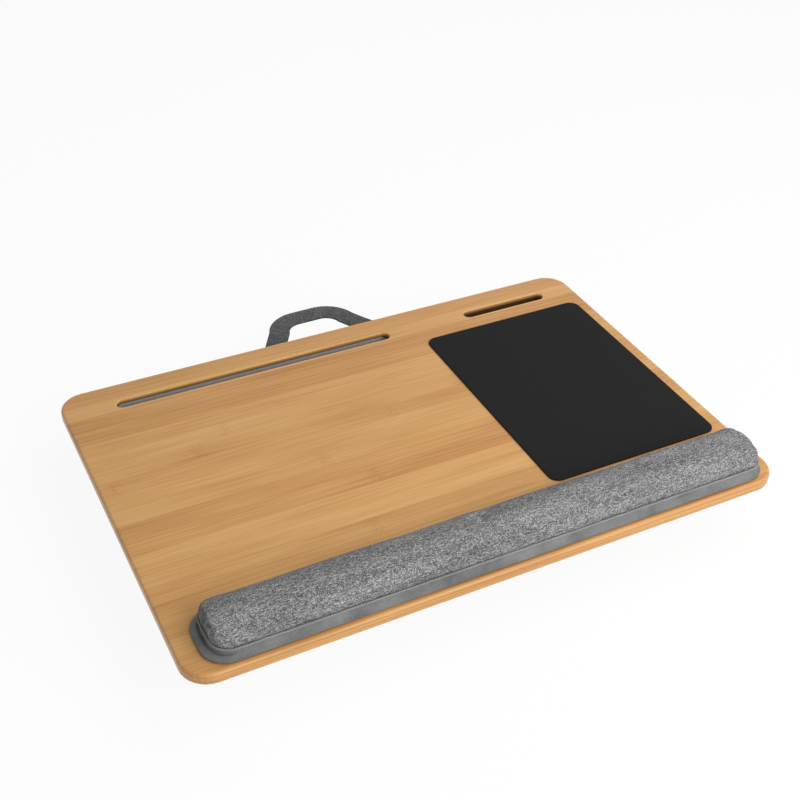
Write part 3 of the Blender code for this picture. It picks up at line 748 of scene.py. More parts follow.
def rounded_plan(
    left: float, right: float, front: float, back: float, radius: float, steps: int
) -> np.ndarray:
    """Rounded rectangle in plan: four quarter circles joined by straight sides with even points.

    Args:
        left, right, front, back: the rectangle's sides.
        radius: corner radius.
        steps: steps along each quarter.

    Returns:
        Closed outline of shape (points, 2), whose last point is its first one.
    """
    x, y = (left + radius, right - radius), (front + radius, back - radius)
    centres = np.array([(x[1], y[1]), (x[0], y[1]), (x[0], y[0]), (x[1], y[0])])
    angles = np.linspace(0, QUARTER_TURN, steps + 1) + np.arange(4)[:, None] * QUARTER_TURN
    arcs = centres[:, None] + radius * np.stack([np.cos(angles), np.sin(angles)], -1)
    pieces = []
    for arc, following in zip(arcs, np.roll(arcs, -1, 0)):
        start, end = arc[-1], following[0]
        count = max(2, int(np.linalg.norm(end - start) / SIDE_STEP))
        share = np.linspace(0, 1, count + 1)[1:-1, None]
        pieces += [arc, start + (end - start) * share]
    return np.vstack([*pieces, arcs[0, :1]])


def middle_of(outline: np.ndarray) -> np.ndarray:
    """Middle of an outline's box in plan."""
    return (outline.min(0) + outline.max(0)) / 2


def draw_in(outline: np.ndarray, draw: float) -> np.ndarray:
    """Draw an outline in towards its middle by the same distance on each side.

    Args:
        outline: shape (points, 2).
        draw: the distance.

    Returns:
        The smaller outline.
    """
    middle = middle_of(outline)
    half = np.abs(outline - middle).max(0)
    return middle + (outline - middle) * (half - draw) / half


def at_level(plan: np.ndarray, level: float) -> np.ndarray:
    """Lift points of a plan to a level."""
    return np.column_stack([plan, np.full(len(plan), level)])


def closed_loft(rings: list[np.ndarray], levels: list[float]) -> np.ndarray:
    """Stack outlines at their levels, closed below the first and above the last by its middle.

    Args:
        rings: outlines of shape (points, 2), from the bottom up.
        levels: the height of each.

    Returns:
        Points of shape (outlines + 2, points, 3).
    """
    middle = 0 * rings[0] + middle_of(rings[0])
    levels = [levels[0], *levels, levels[-1]]
    return np.stack([at_level(ring, level) for ring, level in zip([middle, *rings, middle], levels)])


def capped(rows: np.ndarray) -> np.ndarray:
    """Close a tube of points at both ends, each with the middle of its last row.

    Args:
        rows: shape (rows, points, 3).

    Returns:
        Points of shape (rows + 2, points, 3).
    """
    first, last = (np.repeat(rows[[k]].mean(1, keepdims=True), rows.shape[1], 1) for k in (0, -1))
    return np.concatenate([first, rows, last])


def cord_grid(path: np.ndarray, radius: float, sides: int = 10) -> Grid:
    """Round cord along a closed path: a circle carried square to the path, with one side level.

    Args:
        path: centreline, shape (points, 3), without its first point again at its end.
        radius: the cord's radius.
        sides: corners of the circle.

    Returns:
        Points and cloth coordinates.
    """
    tangent = np.roll(path, -1, 0) - np.roll(path, 1, 0)
    path, tangent = np.vstack([path, path[:1]]), unit(np.vstack([tangent, tangent[:1]]))
    side = unit(np.cross(tangent, [0.0, 0.0, 1.0]))
    up = np.cross(side, tangent)
    angle = np.linspace(0, FULL_TURN, sides + 1)[None, :, None]
    points = path[:, None] + radius * (np.cos(angle) * side[:, None] + np.sin(angle) * up[:, None])
    return points, cloth_lengths(points)


def stitch_grids(
    path: np.ndarray, normal: np.ndarray, length: float, pitch: float, radius: float
) -> list[Grid]:
    """A row of stitches: small spindles laid along a path, half sunk into the cloth.

    Each spindle is a circle whose radius follows the root of 1 minus t squared, t running from
    -1 to 1 along it.

    Args:
        path: the seam's line, shape (points, 3).
        normal: the cloth's outward direction at those points.
        length: a stitch's length.
        pitch: the distance from one stitch to the next.
        radius: the thread's radius.

    Returns:
        One grid for each stitch.
    """
    walked = walk(path)
    starts = np.arange(pitch / 2, walked[-1] - length, pitch)
    shares = np.array([-1.0, -0.7, 0.0, 0.7, 1.0])
    line = points_at(starts[:, None] + length * (shares + 1) / 2, walked, path)
    up = unit(points_at(starts, walked, normal))
    side = np.cross(unit(line[:, -1] - line[:, 0]), up)
    angle = np.linspace(0, FULL_TURN, 7)[:, None]
    width = radius * np.sqrt(np.maximum(0, 1 - shares**2))
    circle = np.cos(angle) * side[:, None] + np.sin(angle) * up[:, None]
    points = line[:, :, None] + width[None, :, None, None] * circle[:, None]
    flat = np.zeros(points.shape[1:3] + (2,))
    return [(one, flat) for one in points]


def dress(piece: bpy.types.Object, material: bpy.types.Material) -> None:
    """Give a piece or a node its one material.

    Args:
        piece: the object.
        material: its finish.
    """
    piece.data.materials.clear()
    piece.data.materials.append(material)
    log.info("%s dressed, %d points", piece.name, len(piece.data.vertices))


def finish_piece(
    piece: bpy.types.Object,
    material: bpy.types.Material,
    replaces: tuple[str, ...] = (),
    levels: int = 0,
    bend: tuple[tuple[float, ...], tuple[float, ...]] | None = None,
) -> None:
    """Dress a new piece, seat it on the desk unless it has a bend, and hide the nodes that it stands for.

    Args:
        piece: the object.
        material: its finish.
        replaces: nodes that it stands for.
        levels: subdivision levels.
        bend: for fabric that goes over from the desk to the handle, where its bend starts and ends; when
            given, the piece rides on no body, and the ends themselves are not read.
    """
    dress(piece, material)
    if levels:
        smoother = piece.modifiers.new("smoother", "SUBSURF")
        smoother.levels = smoother.render_levels = levels
        smoother.uv_smooth = "PRESERVE_BOUNDARIES"
    if bend:
        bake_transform(piece)
    else:
        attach(piece, Body.DESK.value)
    if replaces:
        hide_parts(*replaces)


@dataclass(frozen=True)
class Inflation:
    """A short cloth simulation that lets a closed cover swell and pucker between held points."""

    pressure: float
    slack: float
    cap: float
    dent: float = 1.0 * MM
    frames: int = 20
    stiffness: float = 12.0

    def run(self, piece: bpy.types.Object, held: np.ndarray) -> None:
        """Simulate, limit how far each point moves, and write the result into the mesh.

        A point moves by the cap at most, and sinks inwards by the dent at most, so that the cover
        stays clear of its filling.

        Args:
            piece: the closed cover.
            held: which points are fixed.
        """
        rest = mesh_points(piece.data)
        outward = read_array(piece.data.vertex_normals, "vector", 3, np.float32)
        group = piece.vertex_groups.new(name="held")
        group.add(np.flatnonzero(held).tolist(), 1.0, "REPLACE")
        cloth = piece.modifiers.new("cloth", "CLOTH")
        settings = cloth.settings
        settings.quality = 5
        settings.mass = 0.2
        settings.tension_stiffness = settings.compression_stiffness = self.stiffness
        settings.shear_stiffness = self.stiffness / 2
        settings.bending_stiffness = 0.6
        settings.use_pressure = True
        settings.uniform_pressure_force = self.pressure
        settings.shrink_min = settings.shrink_max = -self.slack
        settings.vertex_group_mass = group.name
        settings.effector_weights.gravity = 0
        scene = bpy.context.scene
        cloth.point_cache.frame_start, cloth.point_cache.frame_end = 1, self.frames
        for frame in range(1, self.frames + 1):
            scene.frame_set(frame)
        evaluated = piece.evaluated_get(bpy.context.evaluated_depsgraph_get())
        step = mesh_points(evaluated.data) - rest
        reach = np.linalg.norm(step, axis=1, keepdims=True)
        step *= np.minimum(1, self.cap / np.maximum(reach, 1e-9))
        sunk = -(step * outward).sum(1, keepdims=True)
        step += outward * np.maximum(0, sunk - self.dent)
        piece.modifiers.remove(cloth)
        piece.vertex_groups.remove(group)
        scene.frame_set(1)
        set_points(piece.data, rest + step)
        log.info("%s swelled by up to %.1f mm", piece.name, np.linalg.norm(step, axis=1).max() / MM)


@dataclass(frozen=True)
class Studio:
    """Pale floor, soft lights, white surroundings and the photograph's camera."""

    location: tuple[float, ...] = (-0.42058, -0.79240, 0.76336)
    target: tuple[float, ...] = (0.0165, 0.0207, 0.0619)
    roll: float = math.radians(2.27)
    lens: float = 55.395
    sensor: float = 36.0
    floor_size: float = 8.0
    floor_colour: str = "F4F4F3"
    floor_glow: float = 0.92
    surroundings: float = 0.33

    def build(self) -> None:
        """Set up camera, floor, world and lamps."""
        self.add_camera()
        self.add_floor()
        self.add_world()
        self.add_lamp("key_softbox", (0.35, -1.15, 0.75), (1.2, 0.8), 13.0)
        self.add_lamp("top_softbox", (0.9, -0.2, 1.4), (1.2, 1.2), 12.0)
        bpy.context.scene.view_settings.view_transform = "Standard"

    def add_camera(self) -> None:
        """Place the camera from its spot, target and roll, with lens and sensor in millimetres."""
        back = (Vector(self.location) - Vector(self.target)).normalized()
        across = Vector((0, 0, 1)).cross(back).normalized()
        up = back.cross(across)
        turn_x = math.cos(self.roll) * across + math.sin(self.roll) * up
        turn_y = -math.sin(self.roll) * across + math.cos(self.roll) * up
        data = bpy.data.cameras.new("camera")
        data.lens, data.sensor_width = self.lens, self.sensor
        data.clip_start, data.clip_end = 0.01, 30.0
        camera = bpy.data.objects.new("camera", data)
        frame = Matrix((turn_x, turn_y, back)).transposed().to_4x4()
        frame.translation = self.location
        camera.matrix_world = frame
        bpy.context.scene.collection.objects.link(camera)
        bpy.context.scene.camera = camera

    def seen_rays(self, add: Callable) -> bpy.types.NodeSocket:
        """Tell the rays that show a background: from the camera, off gloss and through glass.

        Args:
            add: add_node for the tree.

        Returns:
            The socket that is 1 for those rays and 0 for the others.
        """
        rays = add("LightPath").node.outputs
        seen = add("Math.MAXIMUM", [rays["Is Camera Ray"], rays["Is Transmission Ray"]])
        return add("Math.MAXIMUM", [seen, rays["Is Glossy Ray"]])

    def add_floor(self) -> None:
        """Pale seamless floor that keeps the desk's shadow."""
        side = np.array([-0.5, 0.5]) * self.floor_size
        plan = np.dstack(np.meshgrid(side, side))
        floor = mesh_from_grids("studio_floor", [(np.dstack([plan, np.zeros((2, 2))]), plan)], closed=False)
        material, shader, add = new_material("studio_paper_matt")
        feed(shader, {"Base Color": linear(self.floor_colour), "Roughness": 1.0, "Specular IOR Level": 0.0})
        seen = add("Math.MULTIPLY", [self.seen_rays(add), self.floor_glow])
        glow = add("Emission", {"Color": (1, 1, 1, 1), "Strength": 1.0})
        mixed = add("MixShader", [seen, shader.outputs[0], glow])
        feed(material.node_tree.nodes["Material Output"], {"Surface": mixed})
        floor.data.materials.append(material)

    def add_world(self) -> None:
        """White surroundings: full white for the camera, and an even glow for the light."""
        world = bpy.data.worlds.new("studio_white")
        world.use_nodes = True
        add = partial(add_node, world.node_tree)
        strength = add("MapRange", {0: self.seen_rays(add), 3: self.surroundings, 4: 1.0})
        feed(world.node_tree.nodes["Background"], {"Color": (1, 1, 1, 1), "Strength": strength})
        bpy.context.scene.world = world

    def add_lamp(self, name: str, place: tuple[float, ...], size: tuple[float, float], power: float) -> None:
        """Add a rectangular lamp that faces the desk.

        Args:
            name: the lamp's name.
            place: where it hangs.
            size: its width and height.
            power: its power in watts.
        """
        data = bpy.data.lights.new(name, "AREA")
        data.shape = "RECTANGLE"
        data.size, data.size_y = size
        data.energy = power
        lamp = bpy.data.objects.new(name, data)
        lamp.location = place
        lamp.rotation_euler = (Vector(self.target) - Vector(place)).to_track_quat("-Z", "Y").to_euler()
        bpy.context.scene.collection.objects.link(lamp)


@dataclass(frozen=True)
class SubAssembly:
    """What every sub-assembly is built from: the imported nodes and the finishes."""

    nodes: dict[str, bpy.types.Object]
    finishes: Finishes


@dataclass(frozen=True)
class BambooBoard(SubAssembly):
    """The slotted board, whose solid stays and gets its finish."""

    def build(self) -> None:
        """Dress the board."""
        dress(self.nodes["bamboo_board"], self.finishes.bamboo)


@dataclass(frozen=True)
class MousePad(SubAssembly):
    """Black sheet stuck on the board's right half."""

    corner: float = 10 * MM
    edge: float = 0.45 * MM

    def build(self) -> None:
        """Build the sheet: rounded outlines drawn in over a quarter-round edge, then a flat face."""
        low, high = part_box("mouse_pad")
        turn = np.linspace(0, QUARTER_TURN, 4)
        rise = self.edge * (np.sin(turn) - 1)
        draws = [self.corner, self.edge / 2, 0, *self.edge * (1 - np.cos(turn)), 3 * MM, 8 * MM]
        levels = [low.z, low.z, low.z + self.edge / 2, *high.z + rise, high.z, high.z]
        outline = rounded_plan(low.x, high.x, low.y, high.y, self.corner, steps=8)
        points = closed_loft([draw_in(outline, draw) for draw in draws], levels)
        pad = mesh_from_grids("mouse_pad_sheet", [(points, points[..., :2])])
        finish_piece(pad, self.finishes.pad, ("mouse_pad",))


@dataclass(frozen=True)
class WristRest(SubAssembly):
    """Padded wrist rest: foam core, woven bolster cover, seam cord round its foot and brushed base."""

    left: float = -250 * MM
    right: float = 260.5 * MM
    middle_y: float = -183.15 * MM
    half_depth: float = 25.75 * MM
    corner: float = 16 * MM
    end_run: float = 5 * MM
    seam_z: float = 71.7 * MM
    seam_drop: float = 3.6 * MM
    crown: float = 18.5 * MM
    end_fall: float = 0.06
    end_fall_length: float = 80 * MM
    swell: float = 0.03
    swell_pitch: float = 170 * MM
    levels: int = 26
    sole_shares: tuple[float, ...] = (0.0, 0.3, 0.6, 0.85)
    cord_radius: float = 0.9 * MM
    base_bottom: float = 62.9 * MM
    base_height: float = 8.5 * MM
    base_edges: tuple[float, ...] = (-258 * MM, 266 * MM, -213.3 * MM, -153 * MM)
    base_corner: float = 22 * MM
    left_flare: float = 8 * MM
    right_flare: float = 5.5 * MM
    front_flare: float = 4.4 * MM
    cover_inset: float = 0.6 * MM
    core_inset: float = 2.6 * MM
    held_height: float = 1.2 * MM
    free_height: float = 6 * MM
    ripple: float = 0.22 * MM
    lump: float = 0.3 * MM
    cord_outset: float = 0.5 * MM
    cord_sink: float = 0.1 * MM
    cord_wobble: float = 0.12 * MM
    base_end: float = 30 * MM
    lip_end: float = 20 * MM
    lip_fade: float = 14 * MM
    fold: float = 0.55 * MM
    crease: float = 0.45 * MM
    hem: float = 0.8 * MM
    hem_rise: float = 0.7 * MM

    def build(self) -> None:
        """Build every piece of the rest."""
        self.build_cover()
        self.build_core()
        self.build_cord()
        self.build_base()

    def plan(self, inset: float) -> tuple[np.ndarray, np.ndarray]:
        """Widest outline of the bolster, split into points on its ridge and the reach from them.

        Beside the long sides the ridge's points run evenly from end to end; round the ends they stay
        at the ridge's end. The outline of a level is the ridge plus a share of the reach.

        Args:
            inset: how far the outline is drawn in.

        Returns:
            Ridge points and reaches, each of shape (points, 2).
        """
        left, right = self.left + inset, self.right - inset
        front, back = self.middle_y - self.half_depth + inset, self.middle_y + self.half_depth - inset
        outline = rounded_plan(left, right, front, back, self.corner - inset, steps=10)
        straight = self.right - self.left - 2 * self.corner
        share = np.clip((outline[:, 0] - self.left - self.corner) / straight, 0, 1)
        ridge_x = self.left + self.end_run + share * (self.right - self.left - 2 * self.end_run)
        ridge = np.column_stack([ridge_x, np.full(len(outline), self.middle_y)])
        return ridge, outline - ridge

    def form(self, inset: float) -> Grid:
        """Closed pillow: a flat sole, sides that bulge over the seam, and a ridge along the top.

        A level's height follows the sine of an angle and its outline's reach the cosine. The angle
        starts below the widest level, where the sides meet the seam. The height falls off towards
        the right end with the square of the nearness, and swells as a sine along x.

        Args:
            inset: how far the form is drawn in.

        Returns:
            Points and cloth coordinates, which follow the cloth's length down the sides and ends.
        """
        start = math.asin(self.seam_drop / (self.crown - self.seam_drop))
        angle = np.linspace(-start, QUARTER_TURN, self.levels + 1)
        ridge, reach = self.plan(inset)
        rise = self.crown - self.seam_drop - inset
        flat = ridge + reach * np.cos(angle)[:, None, None]
        near = np.maximum(0, 1 - (self.right - flat[..., 0]) / self.end_fall_length)
        share = 1 - self.end_fall * near**2
        share += self.swell * np.sin(FULL_TURN * flat[..., 0] / self.swell_pitch)
        foot = self.seam_z + self.seam_drop - rise * math.sin(start)
        height = rise * (np.sin(angle) + math.sin(start))
        sides = np.dstack([flat, foot + height[:, None] * share])
        inner = ridge + reach * math.cos(start) * np.array(self.sole_shares)[:, None, None]
        sole = np.dstack([inner, np.full(inner.shape[:2], foot)])
        return np.concatenate([sole, sides]), self.cloth(np.concatenate([inner, flat]), angle, ridge)

    def cloth(self, flat: np.ndarray, angle: np.ndarray, ridge: np.ndarray) -> np.ndarray:
        """Cloth coordinates: the plan, stretched at each level to the cloth's length from the ridge.

        Args:
            flat: plan points of sole and sides, shape (rows, points, 2).
            angle: angles of the sides' levels.
            ridge: the ridge's points.

        Returns:
            Coordinates of the plan's shape.
        """
        stretches = []
        for half in (self.end_run, self.half_depth):
            line = np.column_stack([half * np.cos(angle), (self.crown - self.seam_drop) * np.sin(angle)])
            stretch = np.maximum(walk(line[::-1])[::-1], 1e-9) / np.maximum(line[:, 0], 1e-6)
            stretch[-1] = 1.0
            stretches.append(np.concatenate([np.full(len(flat) - len(angle), stretch[0]), stretch])[:, None])
        middle_x = (self.left + self.right) / 2
        beyond = np.maximum(0, np.abs(flat[..., 0] - middle_x) - (ridge[:, 0].max() - middle_x))
        u = flat[..., 0] + np.sign(flat[..., 0] - middle_x) * beyond * (stretches[0] - 1)
        v = self.middle_y + (flat[..., 1] - self.middle_y) * stretches[1]
        return np.dstack([u, v])

    def build_cover(self) -> None:
        """Woven bolster cover, swelled by simulation over its held sole, then wrinkled softly."""
        cover = mesh_from_grids("wrist_rest_bolster_cloth", [self.form(self.cover_inset)])
        held = mesh_points(cover.data)[:, 2] < self.seam_z + self.held_height
        Inflation(pressure=3.0, slack=0.01, cap=1.6 * MM).run(cover, held)
        swelled = mesh_points(cover.data)
        free = np.clip((swelled[:, 2] - self.seam_z) / self.free_height, 0, 1)
        stretched = swelled * np.array([0.35, 1.0, 1.0])
        wave = soft_noise(stretched, wavelength=21 * MM, seed=11) * self.ripple
        wave = wave + soft_noise(swelled, wavelength=60 * MM, seed=5) * self.lump
        swelled[:, 2] += wave * free
        set_points(cover.data, swelled)
        finish_piece(cover, self.finishes.linen, ("wrist_rest_cover",), levels=1)

    def build_core(self) -> None:
        """Foam core inside the cover."""
        core = mesh_from_grids("wrist_rest_foam_core", [self.form(self.core_inset)])
        finish_piece(core, self.finishes.foam, ("wrist_rest_foam",))

    def build_cord(self) -> None:
        """Corded seam that runs round the cover's foot, at the reach of its level, with a slight wobble."""
        ridge, reach = self.plan(inset=-self.cord_outset)
        slope = (2 * self.cord_radius - self.seam_drop) / (self.crown - self.seam_drop)
        plan = (ridge + reach * math.sqrt(1 - slope**2))[:-1]
        path = at_level(plan, self.seam_z + self.cord_radius - self.cord_sink)
        path += soft_noise(path, wavelength=16 * MM, seed=3)[:, None] * self.cord_wobble
        cord = mesh_from_grids("wrist_rest_seam_cord", [cord_grid(path, self.cord_radius)])
        finish_piece(cord, self.finishes.cord, ("wrist_rest_piping",), levels=1)

    def build_base(self) -> None:
        """Brushed base whose band flares on to the board, with soft folds and a rolled hem.

        Each row of the band is the bottom outline drawn in by the root of its share of the height.
        At the left end the band lies lower than that, as a lip with a groove beside the seam cord.
        """
        left, right, front, back = self.base_edges
        bottom, top = self.base_bottom, self.base_bottom + self.base_height
        outline = rounded_plan(*self.base_edges, self.base_corner, steps=12)
        middle = middle_of(outline)
        share = np.linspace(0, 1, 13)[:, None]
        near, far = left + self.left_flare * share**0.5, right - self.right_flare * share**0.5
        x = near + (outline[:, 0] - left) / (right - left) * (far - near)
        draw = 1 - self.front_flare * share**0.5 / ((back - front) / 2)
        y = middle[1] + (outline[:, 1] - middle[1]) * draw
        band = np.dstack([x, y, bottom + self.base_height * share + 0 * x])
        spine = np.clip(outline, [left + self.base_end, middle[1]], [right - self.base_end, middle[1]])
        outward = unit(outline - spine)
        lip = np.interp(share, [0, 0.1, 0.35, 0.55, 0.8, 0.93, 1], [0, 0.2, 0.36, 0.33, 0.1, 0.3, 1])
        flat = np.clip((left + self.lip_end - outline[:, 0]) / self.lip_fade, 0, 1)
        band[..., 2] += self.base_height * (lip - share) * flat
        fold = soft_noise(band * np.array([0.4, 0.4, 1.8]), wavelength=16 * MM, seed=21) * self.fold
        line = 0.3 + 0.12 * soft_noise(band * np.array([1.0, 1.0, 0.0]), wavelength=150 * MM, seed=8)
        crease = np.exp(-(((share - line) / 0.1) ** 2)) * -self.crease
        fade = np.sin(np.pi * share) ** 0.7
        band[..., :2] += ((fold + crease) * fade)[..., None] * outward
        hem = at_level(band[0, :, :2] - self.hem * outward, bottom)
        band[0, :, 2] += self.hem_rise
        centre = 0 * outline + middle
        lid = at_level(middle + (outline - middle) * 0.9, top)
        points = np.stack([at_level(centre, bottom), hem, *band, lid, at_level(centre, top)])
        base = mesh_from_grids("wrist_rest_base_cloth", [(points, cloth_lengths(points))])
        finish_piece(base, self.finishes.suede, ("wrist_rest_base",), levels=1)


@dataclass(frozen=True)
class LapCushion(SubAssembly):
    """Soft panel under the board with two filled bolsters sewn to it."""

    panel_edges: tuple[float, ...] = (-255 * MM, 255 * MM, -181 * MM, 143 * MM)
    panel_bottom: float = 44.6 * MM
    panel_thickness: float = 3 * MM
    panel_corner: float = 22 * MM
    panel_stitch_row: int = 5
    bolster_width: float = 180 * MM
    side_inset: float = 5 * MM
    end_inset: float = 8 * MM
    height: float = 41 * MM
    turn_under: float = 46 * MM
    seam_inset: float = 4 * MM
    plan_power: float = 7.0
    foot_shares: tuple[float, ...] = (0.0, 0.28, 0.55, 0.8)
    piping_radius: float = 1.5 * MM
    piping_z: float = 42.8 * MM
    piping_inset: float = 0.6 * MM
    stitch_drop: float = 0.05 * MM
    held_height: float = 0.2 * MM
    heart_z: float = 20 * MM
    fade: float = 8 * MM
    fold: float = 0.8 * MM
    stuffing_inset: float = 4.6 * MM
    stuffing_gap: float = 1.5 * MM
    lump: float = 0.4 * MM

    def build(self) -> None:
        """Build panel, bolsters, fillings and corded seams."""
        self.build_panel()
        for side in Side:
            self.build_bolster(side)
            self.build_stuffing(side)
            self.build_piping(side)

    def build_panel(self) -> None:
        """Quilted panel: pillowed between a bound edge and a stitched line inside it."""
        half = self.panel_thickness / 2
        middle_z = self.panel_bottom + half
        draws = np.array([0.0, 0.45, 1.4, 3.0, 5.2, 6.2, 7.2, 10.0, 16.0, 30.0, 60.0]) * MM
        lift = np.array([0.0, 0.62, 0.95, 1.0, 0.9, 0.45, 0.9, 1.0, 1.0, 1.0, 1.0]) * half
        outline = rounded_plan(*self.panel_edges, self.panel_corner, steps=10)
        rows = [draw_in(outline, draw) for draw in draws]
        points = closed_loft(rows[::-1] + rows[1:], [*middle_z - lift[::-1], *middle_z + lift[1:]])
        panel = mesh_from_grids("cushion_panel_cloth", [(points, cloth_lengths(points))])
        finish_piece(panel, self.finishes.suede, ("cushion_panel",))
        seam = self.panel_stitch_row
        line = at_level(rows[seam], middle_z - lift[seam] - self.stitch_drop)
        down = np.tile([0.0, 0.0, -1.0], (len(line), 1))
        grids = stitch_grids(line, down, length=2.6 * MM, pitch=4 * MM, radius=0.35 * MM)
        stitches = mesh_from_grids("cushion_panel_stitches", grids)
        finish_piece(stitches, self.finishes.thread)

    def centre(self, side: Side) -> tuple[float, float]:
        """Middle of a bolster in plan."""
        _, right, front, back = self.panel_edges
        return side.value * (right - self.side_inset - self.bolster_width / 2), (front + back) / 2

    def outlines(self, draws: np.ndarray, count: int) -> np.ndarray:
        """Plan outlines of a bolster round its own middle: superellipses that bow, with round corners.

        The angles of their points are those that part the widest one evenly, from a fine table of
        its length.

        Args:
            draws: how far each outline is drawn in from the widest.
            count: steps round an outline.

        Returns:
            Points of shape (outlines, count + 1, 2).
        """
        _, _, front, back = self.panel_edges
        half = np.array([self.bolster_width / 2, (back - front) / 2 - self.end_inset])
        power = 2 / self.plan_power
        fine = np.linspace(0, FULL_TURN, 4001)
        walked = walk(half * squared_circle(fine, power).T)
        angle = np.interp(np.linspace(0, walked[-1], count + 1), walked, fine)
        return (half - draws[:, None])[:, None] * squared_circle(angle, power).T

    def form(self, side: Side, inset: float, top: float) -> np.ndarray:
        """Closed bolster: a bowl of outlines that turn under to a flat foot, and a lid at the seam.

        The bowl's level follows one minus the cosine of a quarter turn, and its outline comes in
        by one minus the sine, with a last tuck at the seam.

        Args:
            side: which bolster.
            inset: how far the form is drawn in.
            top: the level of its lid.

        Returns:
            Points of shape (rings, around, 3).
        """
        turn = np.linspace(0, QUARTER_TURN, 15)
        tuck = self.turn_under * (1 - np.sin(turn)) + self.seam_inset * np.sin(turn) ** 6
        level = inset + (top - inset) * (1 - np.cos(turn))
        bowl = self.outlines(inset + tuck, count=150)
        shares = np.array(self.foot_shares)[:, None, None]
        plan = np.concatenate([bowl[:1] * shares, bowl, bowl[-1:] * shares[::-1]])
        levels = np.concatenate([np.full(len(shares), level[0]), level, np.full(len(shares), top)])
        points = np.dstack([plan, np.broadcast_to(levels[:, None], plan.shape[:2])])
        return points + np.array([*self.centre(side), 0.0])

    def build_bolster(self, side: Side) -> None:
        """Woven bolster cover, swelled by simulation between its seam and the floor.

        Args:
            side: which bolster.
        """
        points = self.form(side, inset=0.0, top=self.height)
        cover = mesh_from_grids(side.word + "_bolster_cloth", [(points, cloth_lengths(points))])
        held = mesh_points(cover.data)[:, 2] > self.height - self.held_height
        Inflation(pressure=4.0, slack=0.02, cap=6 * MM).run(cover, held)
        swelled = mesh_points(cover.data)
        level = swelled[:, 2]
        free = np.clip((self.height - level) / self.fade, 0, 1) * np.clip(level / self.fade, 0, 1)
        out = unit(swelled - np.array([*self.centre(side), self.heart_z]))
        stretched = swelled * np.array([1.0, 1.0, 0.45])
        fold = soft_noise(stretched, wavelength=24 * MM, seed=31 + side.value) * self.fold
        swelled += out * (fold * free)[:, None]
        swelled[:, 2] = np.clip(swelled[:, 2], 0.0, self.height)
        set_points(cover.data, swelled)
        box_map(cover)
        finish_piece(cover, self.finishes.linen, (side.word + "_bolster_cover",), levels=1)

    def build_stuffing(self, side: Side) -> None:
        """Lumpy fibre filling inside a bolster.

        Args:
            side: which bolster.
        """
        points = self.form(side, self.stuffing_inset, top=self.height - self.stuffing_gap)
        points[..., 2] += self.lump * soft_noise(points, wavelength=30 * MM, seed=41)
        stuffing = mesh_from_grids(side.word + "_bolster_stuffing", [(points, cloth_lengths(points))])
        finish_piece(stuffing, self.finishes.filling, (side.word + "_bolster_fill",))

    def build_piping(self, side: Side) -> None:
        """Corded seam where a bolster meets the panel.

        Args:
            side: which bolster.
        """
        plan = self.outlines(np.array([self.seam_inset + self.piping_inset]), count=220)[0, :-1]
        path = at_level(plan + np.array(self.centre(side)), self.piping_z)
        cord = mesh_from_grids(side.word + "_bolster_seam_cord", [cord_grid(path, self.piping_radius)])
        finish_piece(cord, self.finishes.linen, (side.word + "_bolster_piping",))


@dataclass(frozen=True)
class Fixings(SubAssembly):
    """Hook-and-loop strips between panel and board, and the adhesive tapes of the wrist rest."""

    corner: float = 4 * MM
    pile: float = 0.12 * MM

    def build(self) -> None:
        """Build the strips and dress the tapes."""
        for kind in ("hook", "loop"):
            for along in ("front", "back"):
                for side in Side:
                    self.build_strip(f"{kind}_strip_{along}_{side.word}", kind)
        for lane in ("front", "back"):
            dress(self.nodes["wrist_rest_tape_" + lane], self.finishes.tape)

    def build_strip(self, node: str, kind: str) -> None:
        """One strip: a rounded slab whose inner face is rough with hooks or loops.

        Args:
            node: the solid that it stands for.
            kind: hook or loop, which says the face with the pile.
        """
        low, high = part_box(node)
        half = (high.y - low.y) / 2
        draws = np.array([half, MM, 0.25 * MM, 0.0, 0.0, 0.25 * MM, MM, 3 * MM, 5 * MM, 7 * MM, half])
        heights = np.array([0.0, 0.0, 0.05, 0.2, 0.8, 0.95, 1.0, 1.0, 1.0, 1.0, 1.0])[:, None]
        outline = rounded_plan(low.x, high.x, low.y, high.y, self.corner, steps=5)
        rows = np.stack([draw_in(outline, draw) for draw in draws])
        flat = np.dstack([rows, 0 * rows[..., :1]])
        rough = soft_noise(flat, wavelength=2.4 * MM, seed=51) * self.pile
        level = low.z + heights * (high.z - low.z) + rough * (heights > 0.9)
        if kind == "hook":
            level = low.z + high.z - level
        points = np.dstack([rows, np.clip(level, low.z, high.z)])
        strip = mesh_from_grids(node + "_pile", [(points, points[..., :2])])
        finish_piece(strip, self.finishes.pile, (node,))


